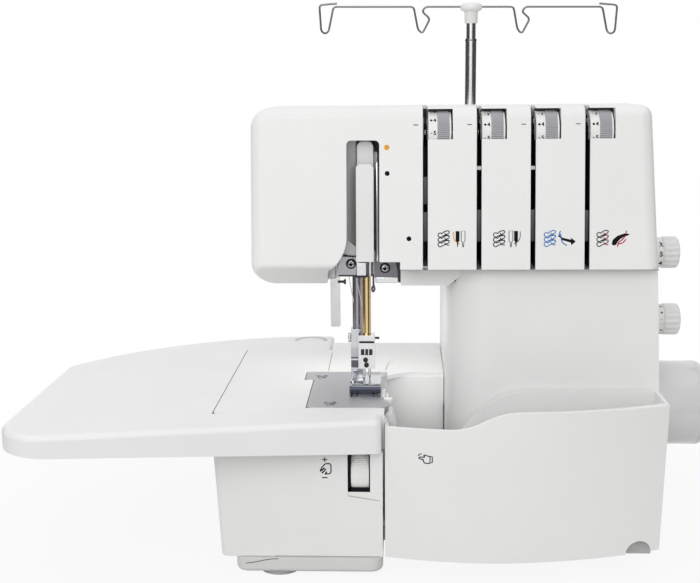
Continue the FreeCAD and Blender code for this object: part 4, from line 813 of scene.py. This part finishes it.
UPPER_THREADS = (((9.6, 10.4), (9.3, 7.6), (7.2, 4.6), (4.4, 2.8), (4.0, 0)),
                 ((4.0, 1.6), (7.4, 2.4), (9.4, 4.8)))
# level marks: their height, and how far left of its slot each one lies
MARK_Z = 289.9
MARK_HALF = 1.55
MARKS_LEFT = (6.25, 6.3, 6.3, 6.3)
FACE_DOTS = ((19.4, 216.3), (5.2, 258.7))
ORANGE_DOT = (4.9, 275.5)


def add_loops(shape, accent, place):
    """Rows of stitch loops, linked at the left and crossing at the right."""
    for row in range(LOOP_ROWS):
        base = row * LOOP_ROW
        add_stroke(shape, list(arc_points((1.8, base + 1.6), 1.4, 35, 325, 14)), LOOP_LINE, place)
        add_stroke(shape, round_corners(offset_by(LOOP_ARCH, 0, base), 1.0, 4), LOOP_LINE, place)
        add_stroke(accent, round_corners(offset_by(LOOP_TAIL, 0, base), 1.0, 4), LOOP_LINE, place)


def add_needle_icons(inks, place):
    """Two needles in each picture; the one that the dial serves is filled and has its thread."""
    for index, starts, filled, thread in NEEDLE_ICONS:
        for number, start in enumerate(starts):
            spot = shifted(place, slot_middle(index) + start, ICON_LOW)
            if number != filled:
                add_stroke(inks["ink_black"], NEEDLE_SHAPE, 0.45, spot, closed=True)
                continue
            add_patch(inks["ink_black"], NEEDLE_SHAPE, spot)
            side, edge = (1, NEEDLE_WIDTH) if number else (-1, 0)
            trace = [(edge + side * out, up) for out, up in NEEDLE_THREAD]
            add_stroke(inks[thread], round_corners(trace, 1.5, 4), 0.55, spot)


def add_looper_icons(inks, place):
    """Both loopers, filled, with their threads."""
    for index, offset, shape, threads, ink, bend, width in (
            (2, LOWER_LOOPER_AT, LOWER_LOOPER, LOWER_THREADS, "ink_blue", 1.5, 0.7),
            (3, UPPER_LOOPER_AT, UPPER_LOOPER, UPPER_THREADS, "ink_red", 1.6, 0.75)):
        spot = shifted(place, slot_middle(index) + offset, ICON_LOW)
        add_patch(inks["ink_black"], shape, spot)
        for thread in threads:
            add_stroke(inks[ink], round_corners(thread, bend, 4), width, spot)


def add_level_mark(shape, index, place):
    spot = shifted(place, slot_middle(index) - MARKS_LEFT[index], MARK_Z)
    add_stroke(shape, [(-MARK_HALF, 0), (MARK_HALF, 0)], 0.6, spot)


def add_icons():
    place = lay_on("tension_cover")
    inks = {name: bmesh.new() for name in INKS}
    for index, (offset, ink, end_ink) in enumerate(LOOP_ICONS):
        add_loops(inks[ink], inks[end_ink], shifted(place, slot_middle(index) + offset, ICON_LOW))
    add_needle_icons(inks, place)
    add_looper_icons(inks, place)
    for index in range(1, DIALS):
        add_level_mark(inks["ink_grey"], index, place)
    for name, shape in inks.items():
        add_print("panel_" + name, shape, name)


def add_face_marks():
    face = lay_on("face_cover")
    dark, orange = new_shapes(2)
    for dot in FACE_DOTS:
        add_dot(dark, dot, 1.6, face)
    add_level_mark(dark, 0, face)
    add_dot(orange, ORANGE_DOT, 1.75, face)
    add_print("face_marks", dark)
    add_print("face_orange", orange, "ink_orange")


# Take-up slot and the guides under the head

TAKE_UP_LEFT, TAKE_UP_RIGHT = -21.5, 0.0
# plate in the slot seen from above, from the slot's left edge and the front of the guide plate
TAKE_UP_LINING = ((-1.2, 1.7), (2.6, 3.0), (6, 3.8), (6, 4.6), (2.6, 3.8), (-1.2, 2.5))
# its foot seen from the front, from the slot's left edge and the top of the guide plate
TAKE_UP_FOOT = ((-14.5, -14.5), (-8.8, -14.5), (-8.8, 0.4), (6, 0.4), (6, 6), (-1.2, 12), (-3.4, 9), (-8, -1),
                (-14.5, -8))
TAKE_UP_ROD = ((0, 0), (0, 1.5), (64, 1.9), (66, 1.2), (66, 0))
# bar, bore and wall of its bush
BAR_BUSHES = (("needle_bar", 3.1, 2.4), ("presser_bar", 3.6, 2.2))
WIRE_HOOK = ((0, 0, 0), (0, 0, -7), (1, -1, -10), (-0.4, -2, -12), (-1.2, -1, -9.5), (0, 0, -7.5))
THREAD_WIRES = (((-21.2, -57.8, 190), (-20.6, -55, 184), (-18.4, -46, 168)),
                ((-16.4, -52, 187), (-13.4, -51, 172), (-12.4, -50, 166)))
GUIDE_PIVOT = ((0, 0), (0, 0.9), (4.2, 0.9), (4.2, 1.7), (5.6, 1.7), (5.6, 0))
GUIDE_SEAM = ((4, -0.4, 1.8), (8.5, -0.4, 0.2), (14.9, -0.4, 0))


def add_take_up():
    """Lining plate left of the lever and the polished thread rod right of it."""
    low, high = low_high("thread_guide_plate")
    plate, foot, rod = new_shapes(3)
    section = offset_by(TAKE_UP_LINING, TAKE_UP_LEFT, low.y)
    add_prism(plate, section, high.z + 1, low_high("take_up_lever")[1].z + 1.8, "z")
    add_piece("take_up_lining", plate, "well_steel")
    add_prism(foot, offset_by(TAKE_UP_FOOT, TAKE_UP_LEFT, high.z), low.y + 0.8, low.y + 1.6, "y")
    add_piece("take_up_foot", foot, "well_steel")
    add_turned(rod, TAKE_UP_ROD, (TAKE_UP_RIGHT - 1.7, low.y + 0.7, high.z - 3), "z", 32)
    add_piece("take_up_rod", rod, "bright_steel")


def add_guide_rims():
    """Dark top and right end of the bracket, painted shade where the bars leave the guide and along the
    guide's lower front edge, and the pivot left of it.
    """
    low, high = low_high("thread_guide_plate")
    front = low.y
    foot, top = low_high("lamp_bracket")
    rim = bmesh.new()
    add_box(rim, (foot.x + 4.4, foot.y - 0.2, top.z - 1.3), (top.x - 2.2, foot.y + 1, top.z), 0.1)
    slant = [(top.x - 3.8, top.z - 0.6), (top.x - 2, top.z - 0.1), (top.x, foot.z + 4),
             (top.x, foot.z - 3.4), (top.x - 2, foot.z - 2.6), (top.x - 2, foot.z + 4)]
    add_prism(rim, slant, foot.y - 0.4, foot.y + 1, "y")
    # black blocks painted as the shade under the guide
    add_box(rim, (high.x - 7.4, front - 3.4, low.z - 0.5), (high.x + 0.6, front - 0.4, low.z + 1.2), 0.5)
    add_box(rim, (low.x + 2.6, front - 0.3, low.z - 0.2), (high.x - 7.2, front + 0.6, low.z + 0.9), 0.2)
    add_turned(rim, GUIDE_PIVOT, (low.x + 1.9, front, low.z - 3.7), "x", 20)
    add_piece("guide_edges_and_shade", rim, "black_plastic")


def add_guides():
    """Blocks, bushes and wires where the bars leave the head."""
    low, high = low_high("thread_guide_plate")
    front, right = low.y, high.x
    bright, dark, pale, seam = new_shapes(4)
    add_box(bright, (right - 6.8, front - 3.2, low.z + 0.2), (right, front + 0.2, low.z + 10), 0.5)
    add_box(bright, (right + 1.8, front - 1.5, low.z), (right + 3, front + 1, low.z + 10.6), 0.2)
    for left in (right + 0.4, right + 3.4):
        add_box(dark, (left, front - 1.2, low.z), (left + 1.0, front + 1, low.z + 10.6), 0.2)
    for bar, bore, wall in BAR_BUSHES:
        centre = middle_of(bar)
        outer = bore + wall
        profile = [(0, bore), (0, outer - 0.5), (0.5, outer), (3.4, outer), (3.4, bore)]
        add_turned(dark, profile, (centre.x, centre.y, low.z - 2), "z", 40, closed=True)
    hook = offset_by(WIRE_HOOK, right + 4.4, front + 9.2, low.z - 0.5)
    add_tube(dark, round_corners(hook, 1.4), 0.7)
    for wire in THREAD_WIRES:
        add_tube(pale, wire, 0.3)
    # light foot of the bracket
    foot, top = low_high("lamp_bracket")
    add_box(pale, (foot.x + 0.6, foot.y - 0.3, foot.z - 3.6), (top.x - 0.4, foot.y + 12, foot.z + 0.4), 0.5)
    add_piece("guide_block", bright, "bright_steel")
    add_piece("guide_bushes", dark, "dark_metal")
    add_piece("guide_wires", pale, "bright_steel")
    add_tube(seam, round_corners(offset_by(GUIDE_SEAM, low.x, front, high.z), 3), 0.4)
    add_print("guide_seam", seam)


# Screws

# screws: what they hold, x and z; x and z on the rear cover; x and y on the needle plate
GUIDE_SCREWS = (("thread_guide_plate", -19.5, 197), ("lamp_bracket", 3.5, 194.2))
REAR_SCREWS = ((60, 30), (160, 30), (-80, 60), (60, 220), (150, 220), (-60, 220))
PLATE_SCREWS = ((-33, -89), (-43, -19))
# radius and height of the heads
GUIDE_SCREW = (2.8, 1.5)
REAR_SCREW = (4, 2)
PLATE_SCREW = (3.2, 0.45)


def cross_shape(reach, half):
    """Corners of a cross recess: one arm, turned round four times."""
    corners = [(reach, -half), (reach, half), (half, half)]
    shape = []
    for _ in range(4):
        shape += corners
        corners = [(-v, u) for u, v in corners]
    return shape


def add_screw(heads, recesses, where, axis, radius, height):
    """Domed head with a cross recess, painted black as the shade in it."""
    along, right, up = (Vector(way) for way in AXES[axis])
    profile = [(0, 0), (0, radius), (height * 0.4, radius), (height * 0.8, radius * 0.85),
               (height, radius * 0.6), (height, 0)]
    add_turned(heads, profile, where, axis, 32)

    def place(u, v):
        return Vector(where) + along * (height + PRINT) + right * u + up * v
    add_patch(recesses, cross_shape(radius * 0.55, radius * 0.16), place)


def add_plate_screw(heads, recesses, x, y):
    """Flat head with a slot painted black as the shade in it, and dark arcs behind it painted as shadow at
    its edge.
    """
    radius, height = PLATE_SCREW
    top = low_high("needle_plate")[1].z
    profile = [(-0.5, 0), (-0.5, radius), (0.25, radius), (height, radius - 0.3), (height, 0)]
    add_turned(heads, profile, (x, y, top), "z", 40)
    add_stroke(recesses, [(-2.6, -0.5), (2.6, 0.5)], 0.8, shifted(lay_flat(top + height), x, y))
    for first, last in ((25, 75), (105, 155)):
        add_stroke(recesses, list(arc_points((x, y), radius + 1, first, last)), 1.5, lay_flat(top))


def add_screws():
    heads, recesses = new_shapes(2)
    for node, x, z in GUIDE_SCREWS:
        where = (x, low_high(node)[0].y, z)
        radius, height = GUIDE_SCREW
        add_screw(heads, recesses, where, "-y", radius, height)
        # dark ring painted as the shade round the head
        ring = [(0, radius), (0, radius + 0.7), (height * 0.5, radius + 0.5), (height * 0.5, radius)]
        add_turned(recesses, ring, where, "-y", 32, closed=True)
    rear = low_high("rear_cover")[1].y
    for x, z in REAR_SCREWS:
        add_screw(heads, recesses, (x, rear, z), "y", *REAR_SCREW)
    for x, y in PLATE_SCREWS:
        add_plate_screw(heads, recesses, x, y)
    add_piece("screw_heads", heads, "plate_steel", node="body_screws")
    # the black recesses, slots, rings and arcs are painted shade
    add_print("screw_recess_shade", recesses)


# Needle clamp, presser foot and looper space

CLAMP_NECK = 5.5
CLAMP_SCREW = ((0, 0), (0, 1.7), (0.9, 1.7), (1.2, 1.4), (1.2, 0.8), (0.5, 0.8), (0.5, 0))
SIDE_SCREW = ((0, 0), (0, 0.8), (2.7, 0.8), (3, 0.5), (3, 0))
SHANK_WIDTH = 9
SHANK_DEPTH = 8
BAND_SKIN = 0.15
# heights of the bands on the shank above the sole
GREY_BANDS = ((18.1, 25.1), (6.1, 9.5))
DARK_BANDS = ((16.7, 17.9), (10.3, 15.5))
FOOT_PIN = ((0, 0), (0, 1.3), (2.8, 1.3), (3.2, 0.9), (3.2, 0))
# the rounded front of the toe, from its lower front edge; drawn in near-black steel as a painted dark
# reflection
TOE = ((-0.15, 0.1), (3, 0.1), (3, 4.4), (0.75, 4.4), (0.1, 3.3), (-0.15, 2.1))
FOOT_KNOB = ((0, 0), (0, 2.4), (0.3, 3.0), (0.5, 3.3, 1), (2.0, 3.3, 1), (2.3, 2.9), (2.5, 2.6), (2.5, 0))
# ramp and curved fin right of the needle plate, seen from the front
CHUTE_RAMP = ((3.6, 103.5), (5.4, 100), (7.4, 95), (8.6, 90), (11.8, 90), (10.8, 95.2), (9.4, 100),
              (8.2, 103.5))
FIN_CENTRE = (-2.2, 96.4)
FIN_RADII = (7.2, 8.6)
FIN_ENDS = (70, -25)


def add_clamp():
    """Window with two bright strips, upper groove and screws of the needle clamp; the back of the window and
    the groove are black blocks painted as the shade in them.
    """
    low, high = low_high("needle_clamp")
    middle = middle_of("needle_clamp")
    block_top = high.z - CLAMP_NECK
    window_low, window_high = block_top - 8.4, block_top - 4.2
    dark, bright, screws = new_shapes(3)
    # black back of the window, painted shade
    add_box(dark, (middle.x - 3.9, low.y + 1.6, window_low), (middle.x + 3.9, low.y + 2.6, window_high))
    for left in (middle.x - 1.6, middle.x + 1.0):
        add_box(bright, (left, low.y + 1.0, window_low + 0.2), (left + 0.6, low.y + 1.8, window_high))
    add_box(dark, (low.x + 0.6, low.y + 0.6, block_top + 0.1), (high.x - 0.6, low.y + 1.2, block_top + 1.4))
    add_piece("clamp_window_shade", dark, "black_plastic", "needle")
    add_piece("clamp_threads", bright, "bright_steel", "needle")
    for x, z in ((middle.x - 0.8, low.z + 6.3), (middle.x - 0.2, low.z + 2.7)):
        add_turned(screws, CLAMP_SCREW, (x, low.y, z), "-y", 24)
    add_turned(screws, SIDE_SCREW, (high.x, middle.y - 1.2, high.z - 2.5), "x", 16)
    add_piece("clamp_screw_forms", screws, "black_plastic", node="clamp_screws")


def add_foot():
    """Bands on the shank of the foot, its pin, its toe with a painted dark reflection, and its thumb screw.
    """
    low, high = low_high("presser_foot")
    left, right = low.x - BAND_SKIN, low.x + SHANK_WIDTH + BAND_SKIN
    front, rear = high.y - SHANK_DEPTH - BAND_SKIN, high.y + BAND_SKIN
    grey, dark, bright, toe, knob = new_shapes(5)
    for shape, bands in ((grey, GREY_BANDS), (dark, DARK_BANDS)):
        for bottom, top in bands:
            add_box(shape, (left, front, low.z + bottom), (right, rear, low.z + top), 0.1)
    add_turned(bright, FOOT_PIN, (low.x + 1.4, low.y + 11.5, low.z + 5.7), "-y", 20)
    add_prism(toe, offset_by(TOE, low.y, low.z), low.x - 0.1, high.x + 0.1, "x")
    add_piece("foot_toe_reflection", toe, "toe_reflection_steel", "presser")
    add_piece("foot_grey_bands", grey, "plate_steel", "presser")
    add_piece("foot_dark_bands", dark, "dark_metal", "presser")
    add_piece("foot_pin", bright, "bright_steel", "presser")
    add_turned(knob, FOOT_KNOB, drum_of("foot_screw")[0], "x", 96, 24, 0.3)
    add_piece("foot_screw_form", knob, "bright_steel", node="foot_screw")


def add_chute():
    """Small pieces in the looper space right of the needle plate."""
    plate_low, plate_high = low_high("needle_plate")
    front, under, end = plate_low.y, plate_low.z, plate_high.x
    white, black, tab = new_shapes(3)
    add_prism(white, CHUTE_RAMP, front, front + 17, "y")
    fin = list(arc_points(FIN_CENTRE, FIN_RADII[0], *FIN_ENDS, 10))
    fin += arc_points(FIN_CENTRE, FIN_RADII[1], *FIN_ENDS[::-1], 10)
    add_prism(white, fin, front - 12, front - 1, "y")
    # wall behind the gap of the knives, in line with the wall of the chute
    wall_low, wall_high = low_high("chute_wall")
    add_box(white, (end - 7.8, wall_low.y, wall_high.z - 40), (wall_low.x, wall_low.y + 1, under - 0.2))
    add_box(black, (end - 5.4, front + 0.2, under - 2.6), (end - 2.0, front + 3.2, under - 0.4), 0.3)
    add_piece("chute_guides", white, "cover_white")
    add_piece("chute_stop", black, "black_plastic")
    low, high = low_high("upper_knife")
    add_box(tab, (high.x - 5.7, low.y - 0.1, high.z - 8.9), (high.x + 0.1, low.y + 6.1, high.z + 0.1), 0.6)
    add_piece("knife_tab", tab, "knob_white", "knife")


# Knobs, handwheel and cutting width dial

# name, figures with their angles, angles of the dots between them
KNOBS = (("stitch_length_knob", (("3", -76), ("4", -38), ("5", 0), ("R", 38)), ()),
         ("differential_feed_knob", (("1", 0), ("2", -72)), (36, -36, 66)))
KNOB_NECK = 6.2
FLUTES = 16
FLUTE_DEPTH = 1.3
RING_LENGTH = 15
WHEEL_RIM = 6
WIDTH_RIBS = 76
WELL_DEPTH = 12


def add_knob(name, figures, dots):
    """Ring with figures and a fluted grip."""
    neck, whole, grip = drum_of(name)
    start = neck + Vector((KNOB_NECK, 0, 0))
    length = whole - KNOB_NECK
    ring = grip - 0.6
    shape, marks = new_shapes(2)
    profile = [(-4, 0), (-4, 3), (0, 3), (0, ring), (RING_LENGTH - 0.6, ring),
               (RING_LENGTH - 0.4, ring - 0.6), (RING_LENGTH, ring - 0.6), (RING_LENGTH + 0.2, grip - 0.5),
               (RING_LENGTH + 0.7, grip, 1), (length - 2.6, grip, 1), (length - 1.2, grip - 0.5, 0.8),
               (length - 0.4, grip - 1.5, 0.4), (length, grip - 3), (length, 0)]
    add_turned(shape, profile, start, "x", 8 * FLUTES, FLUTES, FLUTE_DEPTH)
    add_piece(name + "_form", shape, "knob_white", node=name)
    place = lay_round(start, ring)
    for text, angle in figures:
        add_text(marks, text, (RING_LENGTH - 2, math.radians(angle) * ring), 3.4, place)
    for angle in dots:
        add_dot(marks, (RING_LENGTH - 2, math.radians(angle) * ring), 0.7, place)
    add_print(name + "_marks", marks, body=BODY_OF[name])


def add_handwheel():
    start, length, radius = drum_of("handwheel")
    bend = length - WHEEL_RIM
    profile = [(0, 0), (0, radius - 7), (0.8, radius - 4.6), (3, radius - 2), (6, radius - 0.6), (10, radius),
               (bend - 1.2, radius), (bend - 0.9, radius - 0.25), (bend - 0.6, radius)]
    for out, along in arc_points((radius - WHEEL_RIM, bend), WHEEL_RIM, 0, 90, 10):
        profile.append((along, out))
    profile += [(length, 15), (length - 0.8, 13.5), (length - 0.8, 0)]
    shape = bmesh.new()
    add_turned(shape, profile, start, "x", 128)
    add_piece("handwheel_form", shape, "wheel_shaded_white", node="handwheel")


def add_width_dial():
    """Ribbed dial, and black sheets on the walls of its well that paint the shade round it."""
    start, width, radius = drum_of("cutting_width_dial")
    dial, well = new_shapes(2)
    profile = [(0.4, 0), (0.4, radius - 0.5), (0.8, radius, 1), (width - 0.6, radius, 1),
               (width - 0.2, radius - 0.5), (width - 0.2, 0)]
    add_turned(dial, profile, start, "x", 4 * WIDTH_RIBS, WIDTH_RIBS, 0.4)
    add_piece("width_dial_form", dial, "knob_white", node="cutting_width_dial")
    cover_low, cover_high = low_high("bed_front_cover")
    front, rear, top = cover_low.y + 0.8, cover_low.y + WELL_DEPTH, cover_high.z
    left, right, bottom = start.x - 1.7, start.x + width + 0.5, start.z - 11
    # black sheets on the walls of the well, painted shade
    add_box(well, (left, front, bottom), (left + 2, rear, top))
    add_box(well, (left, front, bottom), (right, front + 1.1, bottom + 2.8))
    add_box(well, (right - 0.5, front, bottom), (right, rear, top))
    add_print("width_well_shade", well)


# Pictures and seams of the lower covers

# signs beside the cutting width dial
WIDTH_X = -35
PLUS_Z, HAND_Z, MINUS_Z = 79, 72.7, 66.9
SIGN_HALF = 1.7
HAND = ((-3.4, -1.6), (-2.6, 0.6), (-1.2, 2.4), (0.2, 3.6), (3.0, 3.6), (3.6, 2.6), (3.6, -2.0), (2.6, -3.4),
        (1.2, -3.2), (-0.2, -3.6))
FINGERS = (((-3.4, -1.6), (-1.6, -0.2), (-0.8, 0.8)), ((-2.4, -2.8), (-0.6, -1.2), (0.2, 0.2)),
           ((-0.2, -3.6), (0.8, -1.8)))
# a hand that points to the left, on the looper cover
LID_HAND_AT = (29.6, 81.4)
LID_HAND = ((4.3, 2.0), (1.6, 2.2), (-0.4, 3.0), (-1.3, 2.5), (-0.2, 1.5), (-3.8, 1.3), (-4.3, 0.7),
            (-3.8, 0.1), (-1.2, 0.0), (-1.7, -0.8), (-1.1, -1.5), (-0.8, -2.3), (0.4, -2.7), (2.2, -2.4),
            (4.3, -1.8))
LID_CUFF = ((2.9, 1.9), (2.9, -1.7))
LID_SWING = ((-4.6, 2.0), (-3.8, 3.2), (-2.4, 3.6))
TRAY_PARTING = ((-91, 8.8), (-83, 9.4), (-72, 12.0), (-66, 12.3))
FRONT_SEAM_LEFT = -68
FINGER_LINE = ((-20, 54.5), (0.6, 51))
BED_CURVE = ((3.0, 1), (4.2, 16), (5.6, 27), (8.6, 29))
BED_SEAM = ((-39.4, -1.1), (-39.7, 56))
# the left of the bed is cut away from here to the back
BED_NOTCH_Y = 66
JOINT_DEPTH = 12
BIN_NOTCH = ((157, -101, 9), (179, -100, 23))
RECESS_X = -59.8


def add_pictograms():
    marks, hand = new_shapes(2)
    front = lay_on("bed_front_cover")
    left, right = WIDTH_X - SIGN_HALF, WIDTH_X + SIGN_HALF
    add_stroke(marks, [(left, PLUS_Z), (right, PLUS_Z)], 0.65, front)
    add_stroke(marks, [(WIDTH_X, PLUS_Z - SIGN_HALF), (WIDTH_X, PLUS_Z + SIGN_HALF)], 0.65, front)
    palm = shifted(front, WIDTH_X + 0.4, HAND_Z)
    add_stroke(marks, round_corners(HAND, 0.7, 3), 0.75, palm)
    for finger in FINGERS:
        add_stroke(marks, finger, 0.95, palm)
    add_stroke(marks, [(left - 0.2, MINUS_Z), (right, MINUS_Z)], 0.7, front)
    add_print("width_marks", marks)
    lid = shifted(lay_on("looper_cover"), *LID_HAND_AT)
    add_stroke(hand, round_corners(LID_HAND, 0.6, 3), 0.7, lid, closed=True)
    add_stroke(hand, LID_CUFF, 0.6, lid)
    add_stroke(hand, round_corners(LID_SWING, 1), 0.6, lid)
    add_print("lid_mark", hand, body="cover")


def add_seams():
    """Parting line of the base, and the seams of the lower cover and the bed."""
    parting, lines = new_shapes(2)
    add_stroke(parting, round_corners(TRAY_PARTING, 5, 8), 0.55, lay_on("base_tray"))
    add_print("tray_parting", parting, "ink_grey")
    low, high = low_high("bed_front_cover")
    add_box(lines, (FRONT_SEAM_LEFT, low.y - 0.2, low.z), (high.x - 2, low.y + 0.2, low.z + 0.6))
    add_stroke(lines, FINGER_LINE, 0.45, lay_on("bed_front_cover"))
    flat = lay_flat(low_high("bed_top_cover")[1].z)
    add_stroke(lines, round_corners(BED_CURVE, 4, 4), 0.6, flat)
    add_stroke(lines, BED_SEAM, 0.7, flat)
    add_piece("bed_lines", lines, "seam_and_shadow_grey")


def add_table_joints():
    """The table lies close to the bed in front and behind, with a dark gap at the left."""
    low, high = low_high("bed_top_cover")
    bottom = high.z - JOINT_DEPTH
    joints, gap = new_shapes(2)
    for near, right in ((low.y - 0.55, 1), (BED_NOTCH_Y + 0.05, -41.5)):
        add_box(joints, (low.x + 1, near, bottom), (right, near + 0.5, high.z - 0.08))
    add_piece("table_joints", joints, "table_white", "table")
    add_box(gap, (low.x - 0.5, low.y, bottom), (low.x - 0.1, BED_NOTCH_Y - 0.5, high.z - 0.25))
    add_print("bed_gap", gap, "ink_grey")


def add_recesses():
    """Back of the finger notch in the waste bin and the finger recess of the table, both in a grey that
    paints the shade in them.
    """
    notch, recess = new_shapes(2)
    add_box(notch, *BIN_NOTCH, 0.3)
    add_piece("bin_notch_shade", notch, "recess_shade_grey", "cover")
    crescent = list(arc_points((RECESS_X, 101.6), 13.6, -13, 193, 24))
    crescent += arc_points((RECESS_X, 98.7), 10.3, 182, -2, 24)
    add_patch(recess, crescent, lay_on("extension_table", from_above=True))
    add_piece("table_recess_shade", recess, "recess_shade_grey", "table")


RIM_STEPS = 72
RIM_RADIUS = 0.75
RIM_LEFT, RIM_RIGHT = 1.2, 1.8
# how exactly the edge is found, and what the front wall lies before
RIM_FOUND = 0.01
BIN_MIDDLE_Y = -95


def add_bin_rim():
    """Glossy bead along the upper edge of the front wall of the waste bin, in a lighter white that paints the
    highlight on the rim.
    """
    low, high = low_high("looper_cover")
    tree = tree_of("looper_cover")

    def front_wall(x, z):
        hit = tree.ray_cast(Vector((x, -OUTSIDE, z)) * MM, Vector((0, 1, 0)))[0]
        return hit.y / MM if hit and hit.y / MM < BIN_MIDDLE_Y else None
    points = []
    for step in range(RIM_STEPS + 1):
        x = low.x + RIM_LEFT + (high.x - low.x - RIM_LEFT - RIM_RIGHT) * step / RIM_STEPS
        bottom, top = (low.z + high.z) / 2, high.z
        while top - bottom > RIM_FOUND:
            middle = (bottom + top) / 2
            if front_wall(x, middle) is None:
                top = middle
            else:
                bottom = middle
        points.append((x, front_wall(x, bottom - 1) + RIM_RADIUS, bottom - RIM_RADIUS + 0.2))
    bead = bmesh.new()
    add_tube(bead, points, RIM_RADIUS)
    add_piece("bin_edge_highlight", bead, "rim_highlight_white", "cover")


# Thread stand and power inlet

WIRE_BEND = ((0, 0, 0), (3.5, 0, -18), (7, 0, -21), (13.1, 0, -9.3), (6.7, 0, -3.8), (9.4, 0, 0))
WIRE_LOOP = ((0, 0, 0), (4.2, 0, -19.5), (7.2, -1.2, -21.3), (10, -2.4, -19.3), (11.2, -2.6, 1.2),
             (-3, -2.6, 2.4))
WIRE_ENDS = (-110.4, 104.2)
WIRE_BENDS = (-46, 33.7)
# the wire falls a little to the right
WIRE_FALL = -0.0105
WIRE_RADIUS = 0.8
CAP = ((0, 3.9), (0, 4.9), (0.4, 5.2), (8.6, 5.4), (9.6, 6.2), (10.2, 7.8), (11, 8.6), (12.6, 8.8),
       (14.2, 8.5), (15.3, 7.6), (16, 6), (16.3, 3), (16.3, 0))
COLLAR = ((0, 4.62), (0.2, 4.75), (1.0, 4.75), (1.2, 4.62))
INLET_PINS = ((-5.2, 0), (0, -2.4), (5.2, 0))
INLET_PIN = ((0, 0), (0, 1.3), (8, 1.3), (8.8, 0.8), (8.8, 0))


def add_stand():
    """Bent guide wire, its cap and the collar of the pole."""
    low, high = low_high("thread_guide_cap")
    centre = middle_of("thread_guide_cap")
    middle = Vector((centre.x, centre.y, high.z - 3))

    def along(start, side, shape):
        for x, y, z in shape:
            reach = start + side * x
            yield middle + Vector((reach, y, z + WIRE_FALL * reach))
    points = list(along(WIRE_ENDS[0], -1, WIRE_LOOP))[::-1]
    for start in WIRE_BENDS:
        points += along(start, 1, WIRE_BEND)
    points += along(WIRE_ENDS[1], 1, WIRE_LOOP)
    wire, cap, collar = new_shapes(3)
    add_tube(wire, round_corners(points, 2.6), WIRE_RADIUS, 14)
    add_piece("guide_wire_form", wire, "wire_steel", node="thread_guide_wire")
    add_turned(cap, CAP, (centre.x, centre.y, low.z), "z", 64)
    add_piece("guide_cap_form", cap, "stand_white", node="thread_guide_cap")
    pole_top = low_high("pole_outer_tube")[1].z
    add_turned(collar, COLLAR, (centre.x, centre.y, pole_top - 1.8), "z", 48)
    add_piece("pole_collar", collar, "wire_steel")


def add_power():
    centre = middle_of("power_inlet")
    root = low_high("power_inlet")[1].x - 11.9
    pins = bmesh.new()
    for y, z in INLET_PINS:
        add_turned(pins, INLET_PIN, (root, centre.y + y, centre.z + z), "x", 20)
    add_piece("inlet_pins", pins, "bright_steel")


add_camera()
add_world()
add_stage()
for card_setting in CARDS:
    add_card(*card_setting)
for lamp_setting in LAMPS:
    add_lamp(*lamp_setting)
paint_nodes()
for shell, shell_edge in EDGES.items():
    dress(shell, shell_edge)
for dial_index in range(DIALS):
    add_dial(dial_index)
add_slots()
add_icons()
add_face_marks()
add_take_up()
add_guide_rims()
add_guides()
add_screws()
add_clamp()
add_foot()
add_chute()
for knob_setting in KNOBS:
    add_knob(*knob_setting)
add_handwheel()
add_width_dial()
add_pictograms()
add_seams()
add_table_joints()
add_recesses()
add_bin_rim()
add_stand()
add_power()
